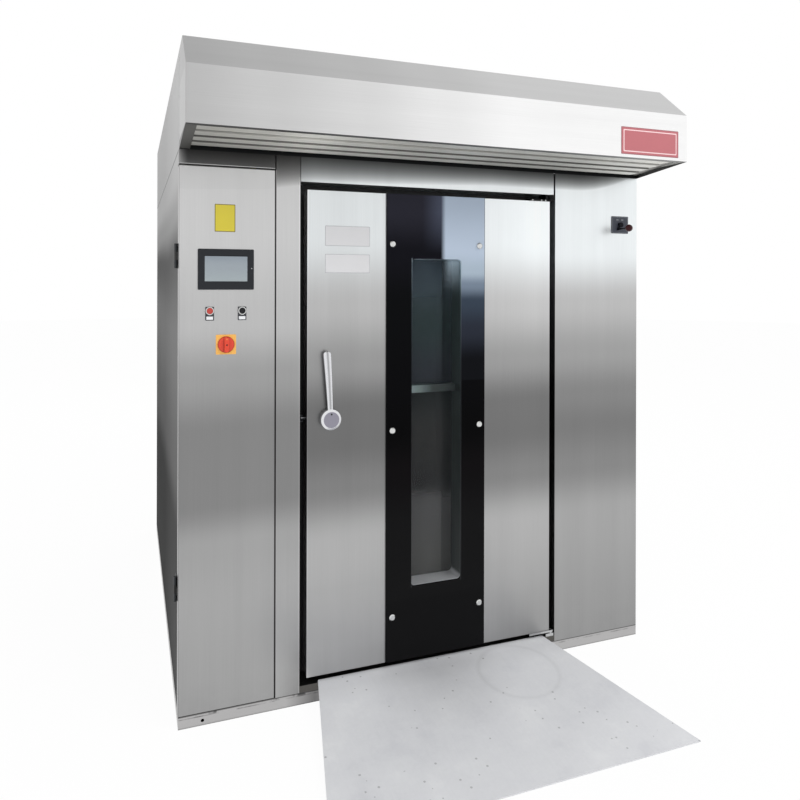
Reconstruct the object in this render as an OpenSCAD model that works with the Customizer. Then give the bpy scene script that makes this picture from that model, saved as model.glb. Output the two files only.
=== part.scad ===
// Rotating rack oven: a walk-in bakery oven in a stainless casing, with a vapour hood,
// a windowed door, a control cabinet, a turning cradle for a rack trolley and a loading ramp.
// +X is to the right of someone at the door, -Y is the front and +Z is up. The origin is the
// centre of the cabinet's footprint on the floor. All sizes are millimetres.

/* [Cabinet] */
// Width of the cabinet
body_w = 2000; // [1960:10:2300]
// Depth of the cabinet, without the hood and the ramp
body_d = 2200; // [2160:10:2500]
// Height of the base pan
base_h = 45; // [35:1:70]
// Height of the front panels' top edge above the floor
panel_top = 2078; // [2050:1:2200]
// Height of the covers that stand on the roof
cover_h = 356; // [340:1:450]
// Thickness of the casing sheet
sheet = 2; // [1.5:0.5:3]
// Depth of the folded edges of the panels
fold = 25; // [18:1:35]
// Gap between neighbouring panels
seam = 2; // [1:0.5:4]
// Width of the control cabinet's door
control_w = 345; // [330:1:380]
// Gap round the control cabinet's door
control_seam = 4; // [2:0.5:5]
// Width of the post between the control cabinet and the oven door
post_w = 95; // [80:1:120]
// Width of the front panel to the right of the oven door
right_w = 433; // [400:1:460]
// Height of the strip above the control cabinet's door
header_h = 56; // [45:1:70]
// Height of the lintel above the oven door
lintel_h = 94; // [85:1:100]

/* [Hood] */
// How far the hood stands out from the front
hood_out = 310; // [260:5:400]
// Height of the hood's upright front sheet
fascia_h = 192; // [160:1:230]
// Height of the front sheet's lower edge above the panels' top
fascia_lift = 27; // [20:1:40]
// How far the hood's flat top comes forward of the cabinet
hood_top_out = 150; // [100:5:200]
// Number of louvre slats under the hood
slat_n = 4; // [3:1:6]
// Height of a louvre slat
slat_h = 22; // [14:1:30]
// Width of the border at the louvres' left end
louvre_border = 34; // [25:1:45]
// Distance between the slats' right ends and the hood's end
louvre_end = 64; // [50:1:110]
// Width of the open gap between the last slat and the cabinet
louvre_back = 26; // [15:1:40]

/* [Oven door] */
// Thickness of the door
door_t = 95; // [80:1:110]
// Gap at each side of the door
door_gap = 28; // [26:1:34]
// Gap above the door
door_top_gap = 30; // [27:1:40]
// Gap between the door and the sill
door_low_gap = 27; // [24:1:34]
// Height of the sill above the base pan
sill_h = 25; // [22:1:35]
// Depth of the door's outer tray
outer_tray_d = 62; // [50:1:70]
// How much the door's inner tray is smaller on each side
inner_step = 10; // [6:1:14]
// Thickness of the rubber seal behind the door
seal_t = 10; // [8:1:14]
// Width of the rubber seal
seal_w = 22; // [16:1:26]
// How far the front frame reaches behind the door's edges
frame_lap = 45; // [36:1:55]
// Thickness of the insulated front frame
frame_t = 60; // [50:1:80]
// Opening angle of the door, degrees
door_open = 115; // [90:5:118]

/* [Door window] */
// Width of the dark glass strip
strip_w = 435; // [400:5:480]
// Thickness of the dark glass strip
strip_t = 6; // [5:0.5:8]
// Width of the window
window_w = 218; // [180:1:260]
// Height of the window
window_h = 1312; // [1200:1:1400]
// Height of the window above the door's lower edge
window_low = 288; // [260:1:340]
// Corner radius of the window
window_r = 15; // [8:1:25]
// Thickness of the clear panes
pane_t = 6; // [4:0.5:8]
// Height of the bar between the two inner panes
bar_h = 30; // [20:1:40]
// Height of the bar's lower edge above the door's lower edge
bar_low = 1053; // [900:1:1150]
// Distance of a glass fixing from the window's centre line
cap_dx = 192; // [150:1:205]
// Upright distance between the glass fixings
cap_dz = 740; // [700:1:800]
// Diameter of a glass fixing's cap
cap_d = 25; // [18:1:30]
// Height of a glass fixing's cap
cap_h = 8; // [5:1:12]

/* [Door hinges and latch] */
// Distance of the hinge pins outside the door's edge
hinge_out = 11; // [8:0.5:12]
// Distance of the hinge pins behind the door's face
hinge_in = 8; // [5:0.5:9]
// Diameter of the hinge pins
pin_d = 12; // [8:1:14]
// Radius of the hinge ears round the pin
ear_r = 12; // [10:0.5:13]
// Thickness of the hinge ears
ear_t = 8; // [6:1:10]
// Length of the hinge ears along the door
ear_len = 110; // [80:5:160]
// Height of the door handle's hub above the door's lower edge
handle_low = 981; // [900:1:1060]
// Distance of the handle's hub from the door's free edge
handle_in = 87; // [70:1:110]
// Diameter of the handle's hub
hub_d = 80; // [60:1:90]
// Height of the handle's hub out of the door
hub_h = 34; // [24:1:45]
// Length of the handle's lever, from the hub's centre
lever_len = 262; // [200:1:300]
// Width of the lever at the hub
lever_w = 17; // [12:1:24]
// Width of the lever at its end
lever_end_w = 27; // [20:1:34]
// Thickness of the lever
lever_t = 14; // [10:1:20]
// Lean of the lever to the left, degrees
lever_lean = 4; // [0:1:8]
// Travel of the latch tongue
tongue_travel = 18; // [12:1:20]
// Height of the latch tongue
tongue_h = 12; // [8:1:20]
// Thickness of the latch tongue
tongue_t = 14; // [10:1:20]

/* [Control cabinet] */
// Depth of the control cabinet
bay_d = 420; // [380:5:480]
// Depth of the control door's return round the corner
return_d = 62; // [50:1:80]
// Diameter of the control door's hinge barrels
barrel_d = 12; // [11:1:18]
// Length of a hinge barrel
barrel_len = 90; // [70:1:120]
// Height of the upper hinge above the floor
hinge_high_z = 1697; // [1600:1:1800]
// Height of the lower hinge above the floor
hinge_low_z = 482; // [400:1:600]
// Opening angle of the control door, degrees
control_open = 105; // [90:5:120]
// Width of the touch screen's bezel
screen_w = 200; // [180:1:230]
// Height of the touch screen's bezel
screen_h = 148; // [130:1:160]
// Height of the touch screen's centre above the floor
screen_z = 1648; // [1600:1:1700]
// Distance of the controls' centre line from the cabinet's left face
controls_x = 165; // [150:1:180]
// Height of the push buttons above the floor
button_z = 1497; // [1470:1:1520]
// Distance between the two push buttons
button_dx = 116; // [90:1:140]
// Diameter of a push button's cap
button_d = 22; // [18:1:26]
// Travel of a push button
button_travel = 4; // [2:0.5:5]
// Width of the main switch's plate
switch_w = 72; // [60:1:80]
// Height of the main switch above the floor
switch_z = 1374; // [1330:1:1400]
// Diameter of the main switch's knob
knob_d = 60; // [46:1:62]
// Height of the main switch's knob
knob_h = 28; // [20:1:36]

/* [Chamber] */
// Inside width of the chamber
chamber_w = 1200; // [1180:10:1240]
// Inside depth of the chamber
chamber_d = 1200; // [1180:10:1240]
// Distance of the chamber's ceiling below the front panels' top
ceiling_drop = 128; // [118:1:148]
// Thickness of the chamber floor plate
floor_t = 8; // [5:1:12]
// Thickness of the insulation
wool = 100; // [80:1:110]
// Number of air slots in the back wall
slot_n = 9; // [6:1:12]
// Width of an air slot
slot_w = 700; // [500:10:800]
// Height of an air slot
slot_h = 24; // [16:1:40]

/* [Turning cradle] */
// Diameter of the turntable
table_d = 1100; // [1000:10:1140]
// Thickness of the turntable
table_t = 6; // [4:1:8]
// Height of the turntable's underside above the chamber floor
table_lift = 6; // [4:1:12]
// Width between the trolley guides
guide_gap = 640; // [560:10:700]
// Height of the trolley guides
guide_h = 22; // [14:1:30]
// Length of the trolley guides
guide_len = 760; // [600:10:800]
// Distance of the cradle's posts from its axis
post_r = 522; // [480:1:530]
// Width of a cradle post
cradle_post_w = 40; // [30:1:50]
// Depth of a cradle post
cradle_post_d = 60; // [40:1:80]
// Distance of the cradle's top beam below the ceiling
beam_drop = 100; // [90:1:150]
// Height of the cradle's top beam
beam_h = 50; // [40:1:60]
// Diameter of the drive shaft
shaft_d = 50; // [40:1:60]
// Diameter of the turntable's foot spindle
spindle_d = 40; // [30:1:50]
// Radial clearance of a running shaft
run_clear = 0.05; // [0.02:0.01:0.1]
// Clearance round a shaft where it passes a wall
pass_clear = 6; // [4:1:10]

/* [Roof drive] */
// Module of the gear teeth
gear_module = 4; // [3.5:0.5:4.5]
// Number of teeth on the large gear
gear_teeth = 48; // [42:6:54]
// Number of teeth on the pinion
pinion_teeth = 16; // [14:1:18]
// Face width of the large gear
gear_t = 26; // [20:1:32]
// Extra centre distance that gives the teeth their play
gear_play = 0.4; // [0.3:0.05:0.6]
// Height of the gear's underside above the roof
gear_lift = 150; // [120:1:180]
// Diameter of the bearing housing
bearing_d = 90; // [80:1:100]
// Diameter of the pinion's shaft
pinion_shaft_d = 25; // [20:1:28]
// Length of the drive motor
motor_len = 240; // [180:5:280]
// Diameter of the drive motor
motor_d = 130; // [110:1:150]

/* [Air circulation] */
// Diameter of the circulation fan's wheel
fan_d = 460; // [380:10:500]
// Height of the fan wheel
fan_h = 110; // [80:5:130]
// Number of fan blades
blade_n = 10; // [8:1:14]
// Diameter of the fan shaft
fan_shaft_d = 28; // [22:1:32]
// Distance of the fan shaft from the cabinet's back
fan_back = 480; // [440:5:520]
// Diameter of the fan motor
fan_motor_d = 190; // [160:5:220]
// Height of the fan motor
fan_motor_h = 230; // [180:5:260]
// Number of heating elements
heater_n = 6; // [4:1:8]
// Diameter of a heating element
heater_d = 14; // [10:1:18]
// Bend radius of a heating element
heater_r = 70; // [50:1:90]

/* [Flue and damper] */
// Outside diameter of the flue
flue_d = 120; // [100:1:124]
// Distance of the damper's spindle from the cabinet's right face
damper_in = 94; // [88:1:110]
// Distance of the damper's spindle below the front panels' top
damper_drop = 214; // [198:1:278]
// Distance of the flue's axis behind the front
flue_back = 330; // [300:5:400]
// Height of the flue's end above the covers
flue_end_h = 90; // [60:1:110]
// Length of the flue's end that a duct is pushed over
spigot_len = 80; // [60:1:100]
// Diameter of the damper's spindle
damper_rod_d = 10; // [8:1:12]
// Offset of the crank's handle from the spindle
crank_r = 23; // [20:1:38]
// Length of the crank's handle
crank_len = 76; // [50:1:90]
// Diameter of the ball on the crank
ball_d = 32; // [22:1:36]
// Width of the plate behind the crank
dial_w = 89; // [80:1:100]
// Height of the plate behind the crank
dial_h = 77; // [70:1:100]

/* [Ramp] */
// How far the ramp reaches out in front
ramp_run = 700; // [600:10:800]
// Width of the ramp's upper edge
ramp_top_w = 993; // [900:1:1020]
// Width of the ramp's foot
ramp_foot_w = 1336; // [1100:1:1400]
// Thickness of the ramp plate
ramp_t = 4; // [3:0.5:6]

/* [Hidden] */
$fn = 48;
// Spare gap between pieces that only lie beside each other
gap = 0.5;
// Cut depth that clears a face
over = 1;

left_x = -body_w / 2;
right_x = body_w / 2;
front_y = -body_d / 2;
back_y = body_d / 2;
cover_top = panel_top + cover_h;
control_top = panel_top - header_h;
lintel_z = panel_top - lintel_h;
sill_z = base_h + sill_h;
floor_z = base_h + floor_t;

// The recess that the oven door closes
recess_x0 = left_x + control_w + post_w;
recess_x1 = right_x - right_w;
recess_d = door_t + seal_t;
frame_y = front_y + recess_d;

// The oven door
door_x0 = recess_x0 + door_gap;
door_x1 = recess_x1 - door_gap;
door_cx = (door_x0 + door_x1) / 2;
door_w = door_x1 - door_x0;
door_z0 = sill_z + door_low_gap;
door_z1 = lintel_z - door_top_gap;
door_h = door_z1 - door_z0;
window_z0 = door_z0 + window_low;
window_cz = window_z0 + window_h / 2;
hinge_x = door_x1 + hinge_out;
hinge_y = front_y + hinge_in;
handle_x = door_x0 + handle_in;
handle_z = door_z0 + handle_low;

// The opening in the front frame
opening_x0 = door_x0 + frame_lap;
opening_x1 = door_x1 - frame_lap;
opening_z1 = door_z1 - frame_lap;

// The chamber and its walls
ceiling_z = panel_top - ceiling_drop;
beam_z = ceiling_z - beam_drop;
chamber_x0 = door_cx - chamber_w / 2;
chamber_x1 = door_cx + chamber_w / 2;
chamber_y0 = frame_y + frame_t;
chamber_y1 = chamber_y0 + chamber_d;
shell_x0 = chamber_x0 - sheet - wool;
shell_x1 = chamber_x1 + sheet + wool;
heater_y1 = back_y - sheet - wool - fold;
cradle_y = chamber_y0 + chamber_d / 2;
roof_z = panel_top - sheet;

// The control door turns about an upright line outside the left face
control_hinge_x = left_x - barrel_d / 2 - 1;
control_hinge_y = front_y + return_d;
controls_cx = left_x + controls_x;

// The turning cradle and its drive
table_z = floor_z + table_lift;
table_top = table_z + table_t;
gear_z = panel_top + gear_lift;
gear_r = gear_module * gear_teeth / 2;
pinion_r = gear_module * pinion_teeth / 2;
pinion_x = door_cx - gear_r - pinion_r - gear_play;
shaft_top = gear_z + gear_t + 14;

// The fan stands on the chamber's centre line behind the back wall
fan_x = door_cx;
fan_y = back_y - fan_back;
fan_top = ceiling_z - 30;

// The flue and its damper
damper_x = right_x - damper_in;
damper_z = panel_top - damper_drop;
flue_y = front_y + flue_back;
flue_end = cover_top + flue_end_h;

// Small sizes that go with the pieces they are named for
plinth_hole_in = 85;
plinth_hole_z = 18;
plinth_hole_d = 12;
wall_t = 3;
lintel_gap = 8;
lip_d = 20;
slat_rail = 4;
slat_share = 0.91;
end_rail_up = 14;
plate_margin = 8;
plate_drop = 228;
device_unit = 18;
device_gap = 2;
device_nose = 12;
leaf_t = 3;
leaf_w = 30;
hinge_pin_d = 6;
bezel_t = 6;
bezel_r = 4;
screen_rim = 8;
screen_depth = 38;
display_w = 152;
display_h = 92;
display_up = 5;
ring_d = 31;
ring_t = 3;
holder_t = 2;
holder_h = 50;
holder_drop = 10;
barrel_out = button_d + 4;
barrel_deep = 48;
button_bore = 30;
button_in = 20;
switch_plate_t = 3;
switch_neck = 40;
switch_deep = 60;
switch_shaft_d = 10;
switch_bore = 30;
cap_drop = 11;
stud_d = 8;
stud_len = 14;
handle_shaft_d = 16;
handle_shaft_in = 30;
tongue_y = front_y + 35;
tongue_out = 16;
keeper_t = 3;
keeper_h = 80;
keeper_room = 3;
keeper_clear = 9;
keeper_y = tongue_y + tongue_t / 2;
keeper_screw_d = 5;
keeper_screw_dz = 32;
pane_in = 4;
bar_in = 50;
seal_in = 4;
sweep_gap = 9;
sweep_lap = 30;
ear_deep = 24;
bracket_w = 26;
bracket_d = 60;
foot_block_h = 12;
guide_t = 4;
foot_z = 12;
foot_d = 120;
spindle_z = 20;
rail_t = 10;
rail_len = 460;
rail_h = 30;
rail_z = 900;
hub_collar_h = 26;
gear_hub_h = 8;
pinion_over = 2;
pinion_shaft_len = 50;
pinion_cap = 10;
flange_extra = 40;
flange_t = 12;
housing_h = 120;
gearbox_w = 120;
gearbox_shift = 18;
stand_t = 12;
motor_up = 80;
blade_t = 3;
fan_stand_h = 50;
fan_bore = 60;
heater_back = 140;
heater_top = ceiling_z - 390;
heater_low = floor_z + 277;
heater_rail_d = 50;
heater_rail_h = 40;
branch_z = ceiling_z - 260;
flue_low = branch_z - 90;
bead_out = 3;
bead_t = 5;
dial_t = 3;
crank_t = 6;
crank_rod_d = 7;
crank_angle = 238;
spindle_len = flue_back + flue_d / 2 + 12;
ramp_shift = 8.5;
ramp_skew = 26.5;
ramp_lip = 12;
ramp_clear = 3;

// A rounded rectangle about the origin
module rounded_rect(w, h, r) {
    square([w - 2 * r, h], center = true);
    square([w, h - 2 * r], center = true);
    for (sx = [-1, 1], sy = [-1, 1])
        translate([sx * (w / 2 - r), sy * (h / 2 - r)]) circle(r);
}

// Puts a flat outline, drawn in X and Z, between two depths
module upright(y0, y1) {
    translate([0, y1, 0]) rotate([90, 0, 0]) linear_extrude(y1 - y0) children();
}

// Puts a flat outline, drawn in Y and Z, between two places across the width
module sideways(x0, x1) {
    translate([x0, 0, 0]) rotate([90, 0, 90]) linear_extrude(x1 - x0) children();
}

// A box between two corners
module block(a, b) {
    translate(a) cube(b - a);
}

// A folded tray between two corners, open towards one side: side is "+x", "-x", "+y", "-y"
module tray(a, b, side) {
    lo = a + [sheet, sheet, sheet];
    hi = b - [sheet, sheet, sheet];
    difference() {
        block(a, b);
        block([side == "-x" ? a[0] - over : lo[0], side == "-y" ? a[1] - over : lo[1], lo[2]],
            [side == "+x" ? b[0] + over : hi[0], side == "+y" ? b[1] + over : hi[1], hi[2]]);
    }
}

// ---- Casing ----

// A closed box of sheet between two corners, as an insulated member is
module closed_box(a, b) {
    difference() {
        block(a, b);
        block(a + [wall_t, wall_t, wall_t], b - [wall_t, wall_t, wall_t]);
    }
}

// A shallow closed pan that the whole oven stands on, with the foot bearing's pocket
module base_pan() color([0.62, 0.62, 0.6]) difference() {
    union() {
        closed_box([left_x, front_y, 0], [right_x, back_y, base_h]);
        translate([door_cx, cradle_y, 0]) cylinder(d = foot_d + 2 * gap + 2 * wall_t, h = base_h);
    }
    translate([door_cx, cradle_y, foot_z]) cylinder(d = foot_d + 2 * gap, h = base_h);
    translate([left_x + plinth_hole_in, front_y - over, plinth_hole_z]) rotate([-90, 0, 0])
        cylinder(d = plinth_hole_d, h = wall_t + 2 * over);
}

module left_side_panel() color([0.7, 0.71, 0.71])
    tray([left_x, front_y + return_d + seam, base_h],
        [left_x + fold, back_y - fold - seam, panel_top], "+x");

module right_side_panel() color([0.7, 0.71, 0.71])
    tray([right_x - fold, front_y + fold + seam, base_h],
        [right_x, back_y - fold - seam, panel_top], "-x");

module rear_panel() color([0.68, 0.69, 0.69])
    tray([left_x, back_y - fold, base_h], [right_x, back_y, panel_top], "-y");

module roof_panel() color([0.72, 0.73, 0.73]) difference() {
    union() {
        block([left_x + fold + seam, frame_y, roof_z],
            [right_x - fold - seam, back_y - fold - seam, panel_top]);
        // The roof reaches further forward beside the door recess
        block([left_x + fold + seam, front_y + return_d + gap, roof_z],
            [recess_x0 - sheet - gap, frame_y, panel_top]);
        block([recess_x1 + sheet + gap, front_y + fold + gap, roof_z],
            [right_x - fold - seam, frame_y, panel_top]);
    }
    translate([door_cx, cradle_y, roof_z - over])
        cylinder(d = shaft_d + 2 * pass_clear, h = sheet + 2 * over);
    translate([fan_x, fan_y, roof_z - over])
        cylinder(d = fan_shaft_d + 2 * pass_clear, h = sheet + 2 * over);
    translate([damper_x, flue_y, roof_z - over])
        cylinder(d = flue_d + 2 * gap, h = sheet + 2 * over);
}

// An upright cover on the roof's edge, with its top folded in
module side_cover(x0, inward) {
    x_far = inward > 0 ? x0 + fold : x0 - fold;
    x_in = inward > 0 ? x0 + sheet : x0 - sheet;
    block([min(x0, x_in), front_y + sheet + gap, panel_top],
        [max(x0, x_in), back_y, cover_top]);
    block([min(x0, x_far), front_y + sheet + gap, cover_top - sheet],
        [max(x0, x_far), back_y, cover_top]);
}

module left_top_cover() color([0.7, 0.71, 0.71]) side_cover(left_x, 1);

module right_top_cover() color([0.7, 0.71, 0.71]) side_cover(right_x, -1);

module rear_top_cover() color([0.68, 0.69, 0.69]) {
    block([left_x + sheet + gap, back_y - sheet, panel_top],
        [right_x - sheet - gap, back_y, cover_top - sheet - gap]);
}

module header_strip() color([0.74, 0.75, 0.75]) {
    z0 = control_top + control_seam;
    block([left_x, front_y, z0], [left_x + control_w, front_y + sheet, panel_top]);
    block([left_x, front_y, z0], [left_x + sheet, front_y + return_d, panel_top]);
    block([left_x, front_y, panel_top - sheet],
        [left_x + control_w + control_seam, front_y + return_d, panel_top]);
}

module front_post() color([0.76, 0.77, 0.77]) {
    x0 = left_x + control_w + control_seam;
    block([x0, front_y, base_h], [recess_x0, front_y + sheet, panel_top]);
    block([x0, front_y, base_h], [x0 + sheet, front_y + fold, panel_top]);
    difference() {
        block([recess_x0 - sheet, front_y, base_h], [recess_x0, frame_y, panel_top]);
        // Screw holes for the latch keeper
        for (s = [-1, 1]) translate([recess_x0, keeper_y, handle_z + s * keeper_screw_dz])
            rotate([0, 90, 0]) cylinder(d = keeper_screw_d, h = 4 * sheet, center = true);
    }
}

module lintel() color([0.78, 0.79, 0.79]) {
    block([recess_x0 + gap, front_y, lintel_z], [recess_x1 - lintel_gap, front_y + sheet, panel_top]);
    block([recess_x0 + gap, front_y, lintel_z], [recess_x1 - lintel_gap, frame_y, lintel_z + sheet]);
    block([recess_x0 + gap, front_y, panel_top - sheet],
        [recess_x1 - lintel_gap, frame_y, panel_top]);
}

module right_front_panel() color([0.8, 0.81, 0.81]) difference() {
    union() {
        block([recess_x1, front_y, base_h], [right_x, front_y + sheet, panel_top]);
        block([recess_x1, front_y, base_h], [recess_x1 + sheet, frame_y, panel_top]);
        block([right_x - sheet, front_y, base_h], [right_x, front_y + fold, panel_top]);
        block([recess_x1, front_y, panel_top - sheet], [right_x, front_y + fold, panel_top]);
    }
    translate([damper_x, front_y - over, damper_z]) rotate([-90, 0, 0])
        cylinder(d = damper_rod_d + 2 * pass_clear, h = sheet + 2 * over);
}

// ---- Hood ----

fascia_z = panel_top + fascia_lift;
fascia_top = fascia_z + fascia_h;
hood_slope = atan2(cover_top - fascia_top, hood_out - hood_top_out);
// The sloped sheet's inner face lies this far below its outer face
slope_drop = sheet / cos(hood_slope);

// The bent sheet: front, slope and flat top, seen from the right
module hood_bend() {
    front = front_y - hood_out;
    polygon([
        [front, fascia_z], [front, fascia_top], [front_y - hood_top_out, cover_top],
        [front_y, cover_top], [front_y, cover_top - sheet],
        [front + (cover_top - sheet - fascia_top + slope_drop) / tan(hood_slope), cover_top - sheet],
        [front + sheet, fascia_top + sheet * tan(hood_slope) - slope_drop],
        [front + sheet, fascia_z + sheet], [front + lip_d, fascia_z + sheet],
        [front + lip_d, fascia_z]]);
}

// The outline of a hood end
module hood_end() {
    polygon([
        [front_y - hood_out, fascia_z], [front_y - hood_out, fascia_top],
        [front_y - hood_top_out, cover_top], [front_y, cover_top], [front_y, panel_top]]);
}

module hood_shell() color([0.82, 0.83, 0.83]) {
    sideways(left_x, right_x) hood_bend();
    sideways(left_x, left_x + sheet) hood_end();
    sideways(right_x - sheet, right_x) hood_end();
}

module hood_back_plate() color([0.66, 0.67, 0.67])
    block([left_x, front_y, panel_top], [right_x, front_y + sheet, cover_top - sheet - gap]);

// The louvres fill the sloping plane from the hood's lip back towards the cabinet
louvre_y0 = front_y - hood_out + lip_d;
louvre_y1 = front_y - louvre_back;
louvre_pitch = (louvre_y1 - louvre_y0 - slat_rail) / slat_n;
louvre_rise = -fascia_lift / hood_out;
function louvre_z(y) = fascia_z + sheet + (y - front_y + hood_out) * louvre_rise;

// One slat: a wide channel, open upwards
module slat(y) {
    w = louvre_pitch * slat_share;
    translate([y, louvre_z(y)]) difference() {
        square([w, slat_h]);
        translate([sheet, sheet]) square([w - 2 * sheet, slat_h]);
    }
}

// The slats hang between a broad border on the left and a raised rail on the right
module hood_louvres() color([0.6, 0.6, 0.6]) {
    x0 = left_x + sheet + gap;
    x1 = right_x - louvre_end;
    sideways(x0, x0 + louvre_border) polygon([
        [louvre_y0, louvre_z(louvre_y0)], [front_y - gap, louvre_z(front_y)],
        [front_y - gap, louvre_z(front_y) + slat_h], [louvre_y0, louvre_z(louvre_y0) + slat_h]]);
    sideways(x1, right_x - sheet - gap) polygon([
        [louvre_y0, louvre_z(louvre_y0) + end_rail_up], [front_y - gap, louvre_z(front_y) + end_rail_up],
        [front_y - gap, louvre_z(front_y) + slat_h], [louvre_y0, louvre_z(louvre_y0) + slat_h]]);
    sideways(x0 + louvre_border, x1) {
        for (i = [0:slat_n - 1])
            slat(louvre_y0 + slat_rail + i * louvre_pitch);
        translate([louvre_y0, louvre_z(louvre_y0)]) square([sheet, slat_h]);
    }
}

// ---- Front frame, chamber and insulation ----

module frame_left() color([0.12, 0.12, 0.12])
    closed_box([shell_x0, frame_y, base_h], [opening_x0, chamber_y0, roof_z]);

module frame_right() color([0.12, 0.12, 0.12])
    closed_box([opening_x1, frame_y, base_h], [shell_x1, chamber_y0, roof_z]);

module frame_head() color([0.12, 0.12, 0.12])
    closed_box([opening_x0, frame_y, opening_z1], [opening_x1, chamber_y0, roof_z]);

module door_sill() color([0.55, 0.55, 0.53]) {
    block([recess_x0 + gap, front_y, base_h], [recess_x1 - gap, frame_y, sill_z]);
    block([opening_x0, frame_y, base_h], [opening_x1, chamber_y0, sill_z]);
}

module chamber_floor() color([0.6, 0.6, 0.58]) difference() {
    block([chamber_x0, chamber_y0, base_h], [chamber_x1, heater_y1, floor_z]);
    translate([door_cx, cradle_y, base_h - over]) cylinder(d = foot_d + 2 * gap, h = base_h);
}

// Left and right walls and the back of the heater space
module chamber_walls() color([0.5, 0.52, 0.5]) {
    block([chamber_x0 - sheet, chamber_y0, base_h], [chamber_x0, heater_y1, ceiling_z]);
    difference() {
        block([chamber_x1, chamber_y0, base_h], [chamber_x1 + sheet, heater_y1, ceiling_z]);
        translate([chamber_x1 - over, flue_y, branch_z]) rotate([0, 90, 0])
            cylinder(d = flue_d - 2 * sheet, h = sheet + 2 * over);
    }
    block([chamber_x0 - sheet, heater_y1, base_h], [chamber_x1 + sheet, heater_y1 + sheet, ceiling_z]);
}

// The wall that hands out the hot air, with a column of slots
module air_wall() color([0.52, 0.54, 0.52]) {
    pitch = (ceiling_z - floor_z) / (slot_n + 1);
    difference() {
        block([chamber_x0 + gap, chamber_y1, floor_z], [chamber_x1 - gap, chamber_y1 + sheet, ceiling_z]);
        for (i = [1:slot_n]) translate([door_cx, 0, floor_z + i * pitch])
            upright(chamber_y1 - over, chamber_y1 + sheet + over)
                rounded_rect(slot_w, slot_h, slot_h * 0.4);
    }
}

module chamber_ceiling() color([0.5, 0.52, 0.5]) difference() {
    block([chamber_x0 - sheet, chamber_y0, ceiling_z],
        [chamber_x1 + sheet, heater_y1 + sheet, ceiling_z + sheet]);
    translate([door_cx, cradle_y, ceiling_z - over])
        cylinder(d = shaft_d + 2 * pass_clear, h = sheet + 2 * over);
    translate([fan_x, fan_y, ceiling_z - over])
        cylinder(d = fan_shaft_d + 2 * pass_clear, h = sheet + 2 * over);
}

// Wool slabs on both sides, behind and on top
module insulation() color([0.75, 0.7, 0.5]) {
    wool_y1 = heater_y1 + sheet + wool;
    block([shell_x0, chamber_y0, base_h], [shell_x0 + wool, wool_y1, ceiling_z + sheet]);
    difference() {
        block([shell_x1 - wool, chamber_y0, base_h], [shell_x1, wool_y1, ceiling_z + sheet]);
        translate([shell_x1 - wool - over, flue_y, branch_z]) rotate([0, 90, 0])
            cylinder(d = flue_d + 2 * gap, h = wool + 2 * over);
    }
    block([shell_x0 + wool, heater_y1 + sheet, base_h], [shell_x1 - wool, wool_y1, ceiling_z + sheet]);
    difference() {
        block([shell_x0, chamber_y0, ceiling_z + sheet], [shell_x1, wool_y1, roof_z]);
        translate([door_cx, cradle_y, ceiling_z]) cylinder(d = shaft_d + 2 * pass_clear, h = wool * 2);
        translate([fan_x, fan_y, ceiling_z]) cylinder(d = fan_shaft_d + 2 * pass_clear, h = wool * 2);
    }
}

// ---- Control cabinet ----

plate_x0 = left_x + fold + plate_margin;
plate_x1 = shell_x0 - plate_margin;
plate_y = front_y + bay_d;
plate_top = panel_top - plate_drop;

module component_plate() color([0.8, 0.8, 0.78]) {
    block([plate_x0, plate_y, base_h], [plate_x1, plate_y + sheet, plate_top]);
    for (x = [plate_x0, plate_x1 - sheet])
        block([x, plate_y, base_h], [x + sheet, plate_y + fold, plate_top]);
}

// A row of devices side by side on the plate, as many as it has room for. Its drop below the
// plate's top and the devices' width, depth and height are in units of a rail device's width.
module device_row(drop, most, units) {
    size = device_unit * units;
    z = plate_top - drop * device_unit;
    pitch = size[0] + device_gap;
    count = min(most, floor((plate_x1 - plate_x0) / pitch));
    x0 = (plate_x0 + plate_x1) / 2 - count * pitch / 2;
    for (i = [0:count - 1]) {
        x = x0 + i * pitch;
        block([x, plate_y - size[1], z], [x + size[0], plate_y, z + size[2]]);
        // The raised middle that carries the switch or the terminals
        block([x + size[0] * 0.2, plate_y - size[1] - device_nose, z + size[2] * 0.3],
            [x + size[0] * 0.8, plate_y - size[1], z + size[2] * 0.7]);
    }
}

module switchgear() color([0.25, 0.27, 0.3]) {
    device_row(14, 2, [5.5, 3.4, 6.6]);
    device_row(31, 4, [2.5, 4.4, 4.4]);
    device_row(44.5, 8, [1, 3.4, 4.5]);
    device_row(59, 3, [3, 4.4, 5.5]);
    device_row(74, 12, [0.8, 2.5, 3.3]);
}

// The control door: a front sheet that wraps round the left corner and carries hinge knuckles
module control_door() color([0.76, 0.77, 0.77]) {
    z0 = base_h + seam;
    x1 = left_x + control_w;
    difference() {
        union() {
            block([left_x, front_y, z0], [x1, front_y + sheet, control_top]);
            block([left_x, front_y, z0], [left_x + sheet, front_y + return_d, control_top]);
            block([x1 - sheet, front_y, z0], [x1, front_y + fold, control_top]);
            block([left_x, front_y, z0], [x1, front_y + fold, z0 + sheet]);
            block([left_x, front_y, control_top - sheet], [x1, front_y + fold, control_top]);
        }
        translate([controls_cx, 0, screen_z]) upright(front_y - over, front_y + sheet + over)
            square([screen_w - screen_rim, screen_h - screen_rim], center = true);
        for (s = [-1, 1]) translate([controls_cx + s * button_dx / 2, front_y - over, button_z])
            rotate([-90, 0, 0]) cylinder(d = barrel_out + 2 * gap, h = sheet + 2 * over);
        translate([controls_cx, front_y - over, switch_z]) rotate([-90, 0, 0])
            cylinder(d = switch_neck + 2 * gap, h = sheet + 2 * over);
    }
    for (z = [hinge_low_z, hinge_high_z]) hinge_middle(z);
}

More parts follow.
